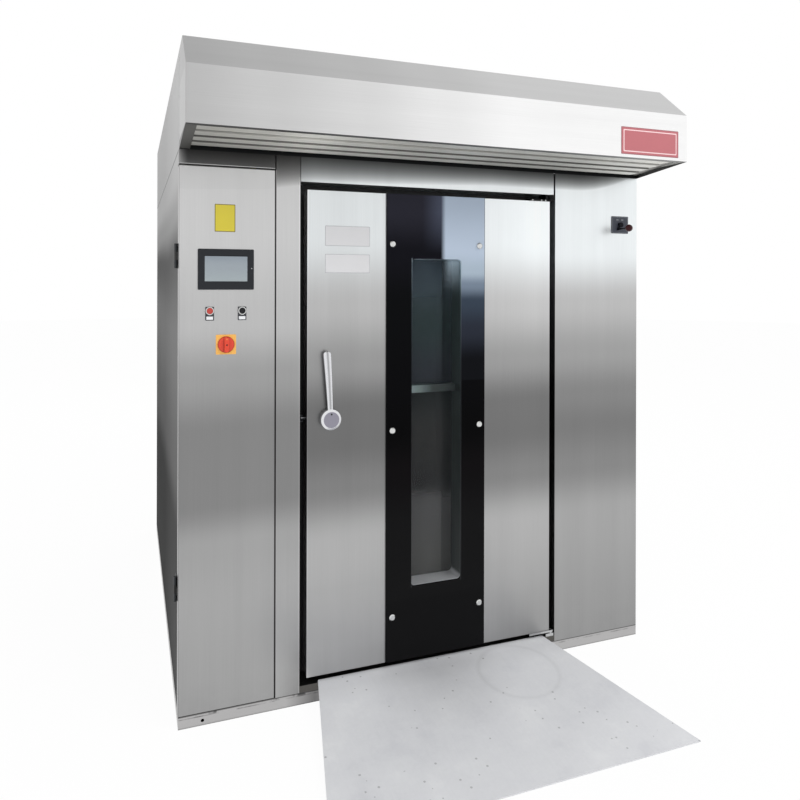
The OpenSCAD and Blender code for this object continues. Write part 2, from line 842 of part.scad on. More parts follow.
// The control door's share of a hinge: the middle knuckle and its leaf
module hinge_middle(z) {
    h = barrel_len / 3 - gap;
    translate([control_hinge_x, control_hinge_y, z - h / 2]) difference() {
        union() {
            cylinder(d = barrel_d, h = h);
            translate([barrel_d / 2 + 1 - leaf_t, -leaf_w, 0]) cube([leaf_t, leaf_w - leaf_t / 2, h]);
            translate([0, -barrel_d / 2, 0]) cube([barrel_d / 2 + 1, barrel_d / 4, h]);
        }
        translate([0, 0, -over]) cylinder(d = hinge_pin_d + 2 * run_clear, h = h + 2 * over);
    }
}

// The cabinet's share: the outer knuckles, the leaf and the pin
module control_hinges() color([0.55, 0.55, 0.56]) {
    for (z = [hinge_low_z, hinge_high_z])
        translate([control_hinge_x, control_hinge_y, z - barrel_len / 2]) {
            cylinder(d = hinge_pin_d, h = barrel_len);
            for (lift = [0, barrel_len * 2 / 3]) translate([0, 0, lift]) {
                cylinder(d = barrel_d, h = barrel_len / 3);
                translate([0, barrel_d / 4, 0])
                    cube([barrel_d / 2 + 1, barrel_d / 4 + 2 * gap, barrel_len / 3]);
            }
            translate([barrel_d / 2 + 1 - leaf_t, barrel_d / 2 + gap, 0])
                cube([leaf_t, leaf_w, barrel_len]);
        }
}

module touch_screen() color([0.2, 0.21, 0.23]) difference() {
    translate([controls_cx, 0, screen_z]) {
        upright(front_y - bezel_t, front_y) rounded_rect(screen_w, screen_h, bezel_r);
        upright(front_y, front_y + screen_depth)
            square([screen_w - screen_rim - 2 * gap, screen_h - screen_rim - 2 * gap], center = true);
    }
    translate([controls_cx, 0, screen_z + display_up])
        upright(front_y - bezel_t - over, front_y - bezel_t + 1)
            square([display_w, display_h], center = true);
}

// Bezel rings and barrels of both push buttons, each over its legend holder
module button_bodies() color([0.15, 0.16, 0.18])
    for (s = [-1, 1]) translate([controls_cx + s * button_dx / 2, front_y, button_z]) {
        difference() {
            rotate([90, 0, 0]) {
                translate([0, 0, holder_t]) cylinder(d = ring_d, h = ring_t);
                translate([0, 0, -barrel_deep]) cylinder(d = barrel_out, h = barrel_deep + holder_t);
            }
            rotate([90, 0, 0]) translate([0, 0, -button_bore])
                cylinder(d = button_d + 2 * run_clear, h = button_bore + holder_t + ring_t + over);
        }
        difference() {
            translate([0, -front_y, -holder_drop]) upright(front_y - holder_t, front_y)
                rounded_rect(ring_d, holder_h, 3);
            rotate([90, 0, 0]) cylinder(d = barrel_out + gap, h = 3 * holder_t, center = true);
        }
    }

// A push button's cap, with a shallow dish in its face
module button_cap(side) {
    out = holder_t + ring_t + button_travel;
    translate([controls_cx + side * button_dx / 2, front_y, button_z]) rotate([90, 0, 0]) difference() {
        translate([0, 0, -button_in]) cylinder(d = button_d, h = button_in + out);
        translate([0, 0, out - 0.8]) cylinder(d = button_d - 5, h = over + 1);
    }
}

module red_button() color([0.75, 0.2, 0.15]) button_cap(-1);

module black_button() color([0.08, 0.08, 0.09]) button_cap(1);

// The main switch: a square plate with its body behind the door
module switch_plate() color([0.95, 0.72, 0.2]) difference() {
    translate([controls_cx, 0, switch_z]) {
        upright(front_y - switch_plate_t, front_y) rounded_rect(switch_w, switch_w, 3);
        translate([0, front_y, 0]) rotate([-90, 0, 0]) cylinder(d = switch_neck, h = sheet);
        upright(front_y + sheet, front_y + switch_deep) square(switch_w - 16, center = true);
    }
    translate([controls_cx, front_y - switch_plate_t - over, switch_z]) rotate([-90, 0, 0])
        cylinder(d = switch_shaft_d + 2 * run_clear, h = switch_bore + over);
}

module switch_knob() color([0.8, 0.22, 0.1])
    translate([controls_cx, front_y - switch_plate_t - gap, switch_z]) rotate([90, 0, 0]) {
        cylinder(d = knob_d, h = knob_h * 0.35);
        intersection() {
            cylinder(d = knob_d, h = knob_h);
            translate([0, 0, knob_h / 2]) cube([knob_d * 0.26, knob_d + over, knob_h], center = true);
        }
        translate([0, 0, gap - switch_bore]) cylinder(d = switch_shaft_d, h = switch_bore);
    }

// ---- Oven door ----

// The six places of the glass fixings
module at_fixings() {
    for (sx = [-1, 1], sz = [-1:1])
        translate([door_cx + sx * cap_dx, front_y, door_z0 + door_h / 2 - cap_drop + sz * cap_dz])
            rotate([90, 0, 0]) children();
}

module window_hole(y0, y1, extra) {
    translate([door_cx, 0, window_cz]) upright(y0, y1)
        rounded_rect(window_w + 2 * extra, window_h + 2 * extra, window_r + extra);
}

module door_skin() color([0.78, 0.79, 0.79]) difference() {
    tray([door_x0, front_y, door_z0], [door_x1, front_y + outer_tray_d, door_z1], "+y");
    window_hole(front_y - over, front_y + sheet + over, sheet + gap);
    at_fixings() cylinder(d = stud_d + 2 * gap, h = 6 * sheet, center = true);
    translate([handle_x, front_y, handle_z]) rotate([90, 0, 0])
        cylinder(d = handle_shaft_d + 2 * run_clear, h = 4 * sheet, center = true);
    // The slot that the latch tongue slides through
    block([door_x0 - over, tongue_y - gap, handle_z - tongue_h / 2 - gap],
        [door_x0 + sheet + over, tongue_y + tongue_t + gap, handle_z + tongue_h / 2 + gap]);
}

module door_inner_skin() color([0.6, 0.61, 0.6]) difference() {
    tray([door_x0 + inner_step, front_y + outer_tray_d, door_z0 + inner_step],
        [door_x1 - inner_step, front_y + door_t, door_z1 - inner_step], "-y");
    window_hole(front_y + door_t - sheet - over, front_y + door_t + over, sheet + gap);
}

// Insulation between the skins
module door_core() color([0.75, 0.7, 0.5]) difference() {
    inset = inner_step + sheet + gap;
    block([door_x0 + inset, front_y + sheet + gap, door_z0 + inset],
        [door_x1 - inset, front_y + door_t - sheet - gap, door_z1 - inset]);
    window_hole(front_y, front_y + door_t, sheet + gap);
    at_fixings() cylinder(d = stud_d + 2 * gap, h = 3 * stud_len, center = true);
    block([door_x0, front_y, handle_z - tongue_h], [handle_x + hub_d / 2,
        tongue_y + tongue_t + gap, handle_z + tongue_h]);
}

// The sheet tube that lines the window through the door, with the bar behind which the inner
// panes meet
module window_liner() color([0.72, 0.73, 0.72]) {
    difference() {
        window_hole(front_y, front_y + door_t, sheet);
        window_hole(front_y - over, front_y + door_t + over, 0);
    }
    block([door_cx - window_w / 2 - sheet / 2, front_y + bar_in, door_z0 + bar_low],
        [door_cx + window_w / 2 + sheet / 2, front_y + door_t - pane_in - pane_t - gap,
        door_z0 + bar_low + bar_h]);
}

module glass_strip() color([0.04, 0.04, 0.05]) difference() {
    block([door_cx - strip_w / 2, front_y - strip_t, door_z0], [door_cx + strip_w / 2, front_y, door_z1]);
    window_hole(front_y - strip_t - over, front_y + over, 0);
    at_fixings() cylinder(d = stud_d + 2 * gap, h = 4 * strip_t, center = true);
}

// One outer pane, and two inner panes that meet at a cross bar
module clear_panes() color([0.75, 0.85, 0.85, 0.4]) {
    outer_y = front_y + pane_in;
    inner_y = front_y + door_t - pane_in - pane_t;
    x0 = door_cx - window_w / 2 + gap;
    x1 = door_cx + window_w / 2 - gap;
    bar_z = door_z0 + bar_low;
    translate([door_cx, 0, window_cz]) upright(outer_y, outer_y + pane_t)
        rounded_rect(window_w - 2 * gap, window_h - 2 * gap, window_r);
    intersection() {
        window_hole(inner_y, inner_y + pane_t, -gap);
        union() {
            block([x0, inner_y - over, window_z0], [x1, inner_y + pane_t + over, bar_z + bar_h / 2 - gap]);
            block([x0, inner_y - over, bar_z + bar_h / 2 + gap],
                [x1, inner_y + pane_t + over, window_z0 + window_h]);
        }
    }
}

module glass_caps() color([0.85, 0.85, 0.85]) at_fixings() {
    translate([0, 0, strip_t]) {
        cylinder(d = cap_d, h = cap_h * 0.6);
        translate([0, 0, cap_h * 0.6]) cylinder(d1 = cap_d, d2 = cap_d - 6, h = cap_h * 0.4);
    }
    translate([0, 0, -stud_len]) cylinder(d = stud_d, h = stud_len + strip_t);
}

// The seal on three sides of the door's back, and the sweep along its lower edge
module door_seals() color([0.15, 0.15, 0.15]) {
    y0 = front_y + door_t;
    y1 = frame_y - 0.3;
    x0 = opening_x0 - seal_w - seal_in;
    x1 = opening_x1 + seal_w + seal_in;
    z1 = opening_z1 + seal_w + seal_in;
    difference() {
        block([x0, y0, door_z0 + inner_step], [x1, y1, z1]);
        block([x0 + seal_w, y0 - over, door_z0 - over], [x1 - seal_w, y1 + over, z1 - seal_w]);
    }
    block([door_x0 + inner_step, y0, sill_z + sweep_gap], [x0 - gap, y0 + 4, door_z0 + sweep_lap]);
    block([x1 + gap, y0, sill_z + sweep_gap], [door_x1 - inner_step, y0 + 4, door_z0 + sweep_lap]);
    block([x0 + seal_w + gap, y0, sill_z + sweep_gap], [x1 - seal_w - gap, y0 + 4, door_z0 + sweep_lap]);
}

// An ear on the door's top or lower edge, bored for the hinge pin
module hinge_ear(z) {
    difference() {
        union() {
            block([hinge_x - ear_len, hinge_y - ear_r, z], [hinge_x, hinge_y + ear_deep, z + ear_t]);
            translate([hinge_x, hinge_y, z]) cylinder(r = ear_r, h = ear_t);
        }
        translate([hinge_x, hinge_y, z - over]) cylinder(d = pin_d + 2 * run_clear, h = ear_t + 2 * over);
    }
}

module hinge_ears() color([0.6, 0.6, 0.6]) {
    hinge_ear(door_z1);
    hinge_ear(door_z0 - ear_t);
}

// The fixed brackets with the pins: one under the lintel, one on the sill
module hinge_brackets() color([0.6, 0.6, 0.6]) {
    top_z = door_z1 + ear_t + gap;
    translate([0, 0, top_z]) {
        block([hinge_x - bracket_w, hinge_y, 0], [hinge_x + ear_r, front_y + bracket_d, lintel_z - top_z]);
        translate([hinge_x, hinge_y, 0]) cylinder(r = ear_r, h = lintel_z - top_z);
    }
    translate([hinge_x, hinge_y, door_z1 + gap]) cylinder(d = pin_d, h = ear_t + 2 * gap);
    low_z = door_z0 - ear_t - gap;
    block([hinge_x - bracket_w, front_y, sill_z],
        [hinge_x + ear_r, front_y + bracket_d, sill_z + foot_block_h]);
    translate([hinge_x, hinge_y, sill_z]) cylinder(r = hinge_in, h = low_z - sill_z);
    translate([hinge_x, hinge_y, low_z]) cylinder(d = pin_d, h = ear_t);
}

// The handle: a round hub with a tapered lever and the shaft that works the tongue
module handle_lever() color([0.8, 0.8, 0.8]) translate([handle_x, front_y, handle_z]) rotate([90, 0, 0]) {
    difference() {
        union() {
            translate([0, 0, gap]) cylinder(d = hub_d - 8, h = hub_h - gap);
            translate([0, 0, hub_h * 0.35]) cylinder(d = hub_d, h = hub_h * 0.5);
            rotate([0, 0, lever_lean]) translate([0, 0, hub_h * 0.4]) linear_extrude(lever_t) {
                polygon([
                    [-lever_w / 2, 0], [lever_w / 2, 0],
                    [lever_end_w / 2, lever_len - lever_end_w / 2],
                    [-lever_end_w / 2, lever_len - lever_end_w / 2]]);
                translate([0, lever_len - lever_end_w / 2]) circle(d = lever_end_w);
            }
        }
        // The set screw's hole in the hub's face
        translate([0, hub_d * 0.28, hub_h - 4]) cylinder(d = 7, h = 5);
    }
    translate([0, 0, -handle_shaft_in]) cylinder(d = handle_shaft_d, h = handle_shaft_in + hub_h / 2);
}

module latch_tongue() color([0.7, 0.7, 0.7]) difference() {
    block([door_x0 - tongue_out, tongue_y, handle_z - tongue_h / 2],
        [handle_x - hub_d / 4, tongue_y + tongue_t, handle_z + tongue_h / 2]);
    // The lead-in slope on the tip
    translate([door_x0 - tongue_out, tongue_y + tongue_t, handle_z]) rotate([0, 0, 45])
        cube([tongue_t * 0.7, tongue_t * 0.7, tongue_h + 2], center = true);
}

// The keeper on the post: a plate with a pocket that the tongue enters from the front
module latch_keeper() color([0.65, 0.65, 0.65]) {
    y0 = tongue_y - gap;
    y1 = tongue_y + tongue_t + keeper_room;
    half = tongue_h / 2 + keeper_room;
    x1 = door_x0 - keeper_clear;
    difference() {
        block([recess_x0, y0, handle_z - keeper_h / 2],
            [recess_x0 + keeper_t, y1 + keeper_t * 2, handle_z + keeper_h / 2]);
        for (s = [-1, 1]) translate([recess_x0, keeper_y, handle_z + s * keeper_screw_dz])
            rotate([0, 90, 0]) cylinder(d = keeper_screw_d, h = 4 * keeper_t, center = true);
    }
    block([recess_x0, y1, handle_z - half], [x1, y1 + keeper_t, handle_z + half]);
    for (z = [handle_z - half - keeper_t, handle_z + half])
        block([recess_x0, y0, z], [x1, y1 + keeper_t, z + keeper_t]);
}

// ---- Turning cradle and its drive ----

// The turntable with the two guides that lead the trolley's wheels, and a stop behind
module turntable() color([0.62, 0.62, 0.6]) translate([door_cx, cradle_y, 0]) {
    translate([0, 0, table_z]) cylinder(d = table_d, h = table_t, $fn = 96);
    for (s = [-1, 1]) translate([s * guide_gap / 2 - guide_t / 2, -guide_len / 2, table_top])
        cube([guide_t, guide_len, guide_h]);
    translate([-guide_gap / 2, guide_len / 2 - guide_t, table_top]) cube([guide_gap, guide_t, guide_h]);
    translate([0, 0, spindle_z]) cylinder(d = spindle_d, h = table_z - spindle_z + table_t / 2);
}

// Two posts, a top beam and side rails, with the drive shaft in the middle
module cradle_frame() color([0.6, 0.61, 0.6]) translate([door_cx, cradle_y, 0]) {
    for (s = [-1, 1]) {
        translate([s * post_r - cradle_post_w / 2, -cradle_post_d / 2, table_top])
            cube([cradle_post_w, cradle_post_d, beam_z + beam_h - table_top]);
        translate([s * (post_r - cradle_post_w / 2 - rail_t / 2) - rail_t / 2, -rail_len / 2, rail_z])
            cube([rail_t, rail_len, rail_h]);
    }
    translate([-post_r, -cradle_post_d / 2, beam_z]) cube([2 * post_r, cradle_post_d, beam_h]);
    translate([0, 0, beam_z + beam_h]) cylinder(d = shaft_d * 1.8, h = hub_collar_h);
    translate([0, 0, beam_z + beam_h / 2]) cylinder(d = shaft_d, h = shaft_top - beam_z - beam_h / 2);
}

// Involute gear outline: a tooth is centred on the +X axis
function involute(a) = tan(a) - a * PI / 180;
function tooth_half(teeth, pitch_r, r) =
    let(base_r = pitch_r * cos(20))
    90 / teeth + (involute(20) - involute(r > base_r ? acos(base_r / r) : 0)) * 180 / PI;
module gear_outline(teeth) {
    pitch_r = gear_module * teeth / 2;
    root_r = pitch_r - 1.25 * gear_module;
    tip_r = pitch_r + gear_module;
    low_r = max(root_r + 0.2 * gear_module, pitch_r * cos(20));
    flank = [root_r, for (i = [0:3]) low_r + (tip_r - low_r) * i / 3];
    polygon([
        for (t = [0:teeth - 1]) let(mid = 360 * t / teeth) each concat(
            [for (r = flank) let(a = mid - tooth_half(teeth, pitch_r, max(r, low_r))) r * [cos(a), sin(a)]],
            [for (i = [len(flank) - 1:-1:0]) let(r = flank[i],
                a = mid + tooth_half(teeth, pitch_r, max(r, low_r))) r * [cos(a), sin(a)]])]);
}

// The large gear on the shaft, with its hub and lightening holes
module drive_gear() color([0.45, 0.46, 0.47]) translate([door_cx, cradle_y, gear_z]) difference() {
    union() {
        rotate([0, 0, 180]) linear_extrude(gear_t) gear_outline(gear_teeth);
        translate([0, 0, -gear_hub_h]) cylinder(d = shaft_d * 1.6, h = gear_t + 2 * gear_hub_h);
    }
    translate([0, 0, -2 * gear_hub_h]) cylinder(d = shaft_d + 2 * run_clear, h = gear_t + 4 * gear_hub_h);
    for (i = [0:5]) rotate([0, 0, i * 60]) translate([(shaft_d * 0.8 + gear_r) / 2, 0, -over])
        cylinder(d = (gear_r - shaft_d) * 0.5, h = gear_t + 2 * over);
}

module pinion() color([0.5, 0.51, 0.52]) translate([pinion_x, cradle_y, gear_z - pinion_over]) {
    rotate([0, 0, 180 / pinion_teeth]) linear_extrude(gear_t + 2 * pinion_over) gear_outline(pinion_teeth);
    translate([0, 0, -pinion_shaft_len])
        cylinder(d = pinion_shaft_d, h = pinion_shaft_len + gear_t + pinion_cap);
}

// The bearing housing on the roof and the foot bearing in the base pan
module shaft_bearings() color([0.3, 0.32, 0.35]) translate([door_cx, cradle_y, 0]) {
    difference() {
        union() {
            translate([0, 0, panel_top]) cylinder(d = bearing_d + flange_extra, h = flange_t);
            translate([0, 0, panel_top]) cylinder(d = bearing_d, h = housing_h);
            for (i = [0:5]) rotate([0, 0, 30 + i * 60])
                translate([(bearing_d + flange_extra / 2) / 2, 0, panel_top + flange_t])
                    cylinder(d = flange_extra * 0.35, h = 6);
        }
        translate([0, 0, panel_top - over]) cylinder(d = shaft_d + 2 * run_clear, h = housing_h + 2 * over);
    }
    difference() {
        translate([0, 0, foot_z]) cylinder(d = foot_d, h = table_z - 0.3 - foot_z);
        translate([0, 0, spindle_z - gap]) cylinder(d = spindle_d + 2 * run_clear, h = base_h);
    }
}

// A worm gearbox on its stand with a finned motor lying behind it
module gearmotor() color([0.25, 0.35, 0.5]) {
    box_top = gear_z - pinion_over - gear_hub_h;
    box = [gearbox_w, gearbox_w, box_top - panel_top - stand_t];
    translate([pinion_x - gearbox_shift, cradle_y, panel_top]) difference() {
        union() {
            translate([-box[0] / 2 - 10, -box[1] / 2 - 15, 0]) cube([box[0] + 20, box[1] + 30, stand_t]);
            translate([-box[0] / 2, -box[1] / 2, stand_t]) cube(box);
            translate([gearbox_shift, 0, stand_t + box[2]]) cylinder(d = pinion_shaft_d * 1.7, h = 2);
            translate([0, box[1] / 2, motor_up]) rotate([-90, 0, 0]) {
                cylinder(d = motor_d * 0.8, h = motor_len);
                cylinder(d = motor_d, h = 12);
                for (i = [0:7]) translate([0, 0, 30 + i * (motor_len - 90) / 7])
                    cylinder(d = motor_d, h = 6);
                translate([0, 0, motor_len - 40]) cylinder(d = motor_d, h = 40);
            }
            translate([-35, box[1] / 2 + 60, motor_up + motor_d * 0.38]) cube([70, 80, 45]);
        }
        translate([gearbox_shift, 0, stand_t + box[2] - pinion_shaft_len])
            cylinder(d = pinion_shaft_d + 2 * run_clear, h = pinion_shaft_len * 2);
    }
}

// ---- Air circulation ----

// A centrifugal wheel with blades that lean back, on its shaft
module fan_wheel() color([0.55, 0.56, 0.57]) translate([fan_x, fan_y, fan_top - fan_h]) {
    r1 = fan_d / 2;
    r0 = r1 * 0.45;
    translate([0, 0, fan_h - sheet]) cylinder(d = fan_d, h = sheet, $fn = 72);
    difference() {
        cylinder(d = fan_d, h = sheet, $fn = 72);
        translate([0, 0, -over]) cylinder(r = r0 * 1.15, h = sheet + 2 * over);
    }
    // A blade's middle line runs from r0 to r1 while it turns back by 50 degrees
    for (b = [0:blade_n - 1]) rotate([0, 0, b * 360 / blade_n]) linear_extrude(fan_h)
        polygon([
            for (i = [0:6]) let(u = i / 6, r = r0 + (r1 - 1 - r0) * u) r * [cos(50 * u * u), sin(50 * u * u)],
            for (i = [6:-1:0]) let(u = i / 6, r = r0 + (r1 - 1 - r0) * u, a = 50 * u * u - blade_t * 57.3 / r)
                r * [cos(a), sin(a)]]);
    translate([0, 0, fan_h - 40]) cylinder(d = fan_shaft_d * 2.2, h = 40);
    cylinder(d = fan_shaft_d, h = panel_top + fan_stand_h + fan_bore - fan_top + fan_h - gap);
}

// The fan motor stands on the roof on a short stool
module fan_motor() color([0.25, 0.35, 0.5]) translate([fan_x, fan_y, panel_top]) difference() {
    union() {
        cylinder(d = fan_motor_d + 60, h = 8);
        cylinder(d = fan_motor_d * 0.7, h = fan_stand_h);
        translate([0, 0, fan_stand_h]) {
            cylinder(d = fan_motor_d, h = 14);
            cylinder(d = fan_motor_d * 0.84, h = fan_motor_h - 10);
            for (i = [0:7]) translate([0, 0, 26 + i * (fan_motor_h - 90) / 7])
                cylinder(d = fan_motor_d, h = 6);
            translate([0, 0, fan_motor_h - 45]) cylinder(d = fan_motor_d, h = 45);
        }
        translate([-fan_motor_d * 0.62, -40, fan_stand_h + 60]) cube([60, 80, 70]);
    }
    translate([0, 0, -over]) cylinder(d = fan_shaft_d + 2 * pass_clear, h = fan_stand_h + over);
    translate([0, 0, fan_stand_h - over]) cylinder(d = fan_shaft_d + 2 * run_clear, h = fan_bore + over);
}

// Hairpin heating elements hang from a rail across the space behind the air wall
module heater_bank() color([0.35, 0.33, 0.32]) {
    y = chamber_y1 + heater_back;
    pitch = (chamber_w - 2 * heater_r) / heater_n;
    block([chamber_x0, y - heater_rail_d / 2, heater_top],
        [chamber_x1, y + heater_rail_d / 2, heater_top + heater_rail_h]);
    for (i = [0:heater_n - 1]) translate([door_cx + (i - (heater_n - 1) / 2) * pitch, y, 0]) {
        for (s = [-1, 1]) translate([s * heater_r, 0, heater_low])
            cylinder(d = heater_d, h = heater_top - heater_low + heater_rail_h / 4);
        translate([0, 0, heater_low]) rotate([90, 180, 0])
            rotate_extrude(angle = 180) translate([heater_r, 0]) circle(d = heater_d);
    }
}

// ---- Flue and damper ----

// The outline of the flue: an upright pipe and its branch from the chamber
module flue_form(d, low, high, branch_x0) {
    translate([damper_x, flue_y, low]) cylinder(d = d, h = high - low);
    translate([branch_x0, flue_y, branch_z]) rotate([0, 90, 0]) cylinder(d = d, h = damper_x - branch_x0);
}

module flue_pipe() color([0.66, 0.66, 0.66]) difference() {
    union() {
        flue_form(flue_d, flue_low, flue_end, chamber_x1 + sheet + gap);
        // The rolled bead that stops the duct
        translate([damper_x, flue_y, flue_end - spigot_len - bead_t])
            cylinder(d = flue_d + 2 * bead_out, h = bead_t);
    }
    flue_form(flue_d - 2 * sheet, flue_low + sheet, flue_end + over, chamber_x1);
    translate([damper_x, flue_y, damper_z]) rotate([90, 0, 0])
        cylinder(d = damper_rod_d + 2 * run_clear, h = flue_d + 2 * over, center = true);
}

// The crank outside, its spindle through the panel and the butterfly blade in the flue
module damper_crank() color([0.2, 0.2, 0.22]) translate([damper_x, front_y, damper_z]) {
    rotate([90, 0, 0]) {
        translate([0, 0, dial_t + gap]) cylinder(d = damper_rod_d * 2.2, h = crank_t + 4);
        rotate([0, 0, crank_angle]) translate([0, -damper_rod_d / 2, dial_t + gap])
            cube([crank_r, damper_rod_d, crank_t]);
        rotate([0, 0, crank_angle]) translate([crank_r, 0, dial_t + gap]) {
            cylinder(d = damper_rod_d, h = crank_t);
            cylinder(d = crank_rod_d, h = crank_len);
            translate([0, 0, crank_len]) sphere(d = ball_d);
        }
        translate([0, 0, -spindle_len]) cylinder(d = damper_rod_d, h = spindle_len + dial_t + gap + crank_t);
    }
    translate([0, flue_back, 0]) cylinder(d = flue_d - 2 * sheet - 3, h = 3, center = true);
}

module dial_plate() color([0.3, 0.32, 0.34]) translate([damper_x, 0, damper_z]) difference() {
    upright(front_y - dial_t, front_y) rounded_rect(dial_w, dial_h, 3);
    translate([0, front_y, 0]) rotate([90, 0, 0])
        cylinder(d = damper_rod_d + 2 * run_clear, h = 4 * dial_t, center = true);
}

// ---- Ramp ----

// A plate from the sill down to the floor, wider at its foot, with two ribs underneath
module ramp() color([0.8, 0.81, 0.82]) {
    y0 = front_y - ramp_run;
    x_top = door_cx + ramp_shift;
    x_foot = x_top + ramp_skew;
    difference() {
        intersection() {
            sideways(left_x, right_x) polygon([
                [y0, 0], [y0, ramp_t], [front_y, sill_z + ramp_t],
                [front_y + ramp_lip, sill_z + ramp_t], [front_y + ramp_lip, sill_z],
                [front_y - gap, sill_z]]);
            linear_extrude(sill_z + 2 * ramp_t) polygon([
                [x_foot - ramp_foot_w / 2, y0], [x_foot + ramp_foot_w / 2, y0],
                [x_top + ramp_top_w / 2, front_y + ramp_lip],
                [x_top - ramp_top_w / 2, front_y + ramp_lip]]);
        }
        // The lip stops short of the post and of the hinge's foot
        block([left_x, front_y - gap, 0], [recess_x0 + ramp_clear, frame_y, 2 * sill_z]);
        block([hinge_x - bracket_w - ramp_clear, front_y - gap, 0], [right_x, frame_y, 2 * sill_z]);
    }
    for (s = [-1, 1]) sideways(x_top + s * ramp_top_w / 3, x_top + s * ramp_top_w / 3 + ramp_t)
        polygon([
            [y0 + ramp_run * 0.1, 0], [y0 + ramp_run * 0.1, sill_z * 0.1 + ramp_t / 2],
            [front_y - gap - ramp_t, sill_z - ramp_t / 2], [front_y - gap - ramp_t, 0]]);
}

base_pan();
left_side_panel();
right_side_panel();
rear_panel();
roof_panel();
left_top_cover();
right_top_cover();
rear_top_cover();
header_strip();
front_post();
lintel();
right_front_panel();
hood_shell();
hood_back_plate();
hood_louvres();
frame_left();
frame_right();
frame_head();
door_sill();
chamber_floor();
chamber_walls();
air_wall();
chamber_ceiling();
insulation();
component_plate();
switchgear();
ramp();
door_skin();
door_inner_skin();
door_core();
window_liner();
glass_strip();
clear_panes();
glass_caps();
door_seals();
hinge_ears();
hinge_brackets();
handle_lever();
latch_tongue();
latch_keeper();
control_door();
control_hinges();
touch_screen();
button_bodies();
red_button();
black_button();
switch_plate();
switch_knob();
turntable();
cradle_frame();
drive_gear();
shaft_bearings();
gearmotor();
pinion();
fan_wheel();
fan_motor();
heater_bank();
flue_pipe();
damper_crank();
dial_plate();
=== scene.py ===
# %% [markdown]
# # A rotating rack oven, dressed
# The oven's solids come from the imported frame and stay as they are. This lesson gives each of
# them a finish, adds the small pieces that a sheet-metal shop and an electrician add last, and
# sets up the floor, the light and the camera. All sizes are metres. +X is to the right of
# someone at the door, -Y is the front and +Z is up.

import math

import bmesh
import bpy
from mathutils import Matrix, Vector


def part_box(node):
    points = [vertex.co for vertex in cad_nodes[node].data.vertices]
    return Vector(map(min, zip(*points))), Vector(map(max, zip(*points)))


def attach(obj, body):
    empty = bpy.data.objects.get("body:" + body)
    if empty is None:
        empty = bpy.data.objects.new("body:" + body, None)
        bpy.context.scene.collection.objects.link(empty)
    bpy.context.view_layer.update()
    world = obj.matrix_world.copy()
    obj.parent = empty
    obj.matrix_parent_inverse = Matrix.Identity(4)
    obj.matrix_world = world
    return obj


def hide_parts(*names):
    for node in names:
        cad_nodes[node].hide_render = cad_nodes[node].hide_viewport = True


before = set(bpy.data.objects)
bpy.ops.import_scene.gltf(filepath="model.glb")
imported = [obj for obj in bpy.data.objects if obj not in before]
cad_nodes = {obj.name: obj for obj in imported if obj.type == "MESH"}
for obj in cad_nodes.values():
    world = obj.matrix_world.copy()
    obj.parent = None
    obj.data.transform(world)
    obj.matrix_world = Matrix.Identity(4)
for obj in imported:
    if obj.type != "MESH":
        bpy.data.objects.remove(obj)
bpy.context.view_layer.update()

# %% [markdown]
# ## Places to build on
# Most new pieces and shades are placed from the box of the part that carries them. The bare
# plates' places are measured in the photograph. A few faces and edges are named once.

# %% Places
FRONT, PANEL_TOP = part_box("right_front_panel")[0].y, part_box("right_front_panel")[1].z
pan_low, pan_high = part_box("base_pan")
LEFT, RIGHT, BACK, PAN_TOP = pan_low.x, pan_high.x, pan_high.y, pan_high.z
CONTROL_RIGHT, CONTROL_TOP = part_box("control_door")[1].x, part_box("control_door")[1].z
HEADER_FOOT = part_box("header_strip")[0].z
POST_LEFT, POST_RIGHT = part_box("front_post")[0].x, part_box("front_post")[1].x
LINTEL_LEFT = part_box("lintel")[0].x
HOOD_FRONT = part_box("hood_shell")[0].y
HOOD_FOLD, HOOD_LIP = 2.2972, 2.1062  # heights of the hood's fold and of its lower lip
CROSS_BAR = 1.165  # height of the window's cross bar


def middle(node):
    low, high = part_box(node)
    return (low + high) / 2


print("front:", round(FRONT, 3), "panel top:", round(PANEL_TOP, 3))

# %% [markdown]
# ## Shader maths as plain Python
# A material is a graph of nodes, and graphs are slow to read. The class `Wire` wraps one socket
# and overloads the arithmetic operators, so that `1 - mask * 0.2` adds the Math nodes it needs.
# `Bench` holds one material: `node` adds any node by its type, its settings and its sockets.
# Each finish is put on the `SHELF` under its name, for the pieces that wear it.


# %% Wire and Bench
class Wire:
    def __init__(self, bench, socket):
        self.bench, self.socket = bench, socket

    def _math(self, operation, a, b, clamp=False):
        settings = {"operation": operation, "use_clamp": clamp}
        return self.bench.node("ShaderNodeMath", settings, {0: a, 1: b})

    def clamped(self):
        return self._math("ADD", self, 0.0, clamp=True)


OPERATIONS = {
    "__add__": "ADD", "__sub__": "SUBTRACT", "__mul__": "MULTIPLY", "__truediv__": "DIVIDE",
    "__pow__": "POWER", "__gt__": "GREATER_THAN", "__lt__": "LESS_THAN", "size": "ABSOLUTE",
    "smaller": "MINIMUM", "larger": "MAXIMUM", "floor": "FLOOR", "fraction": "FRACT",
}
for method, operation in OPERATIONS.items():
    setattr(Wire, method, lambda self, other=0.0, o=operation: self._math(o, self, other))
for method, operation in {"__radd__": "ADD", "__rsub__": "SUBTRACT", "__rpow__": "POWER"}.items():
    setattr(Wire, method, lambda self, other, o=operation: self._math(o, other, self))
SHELF = {}


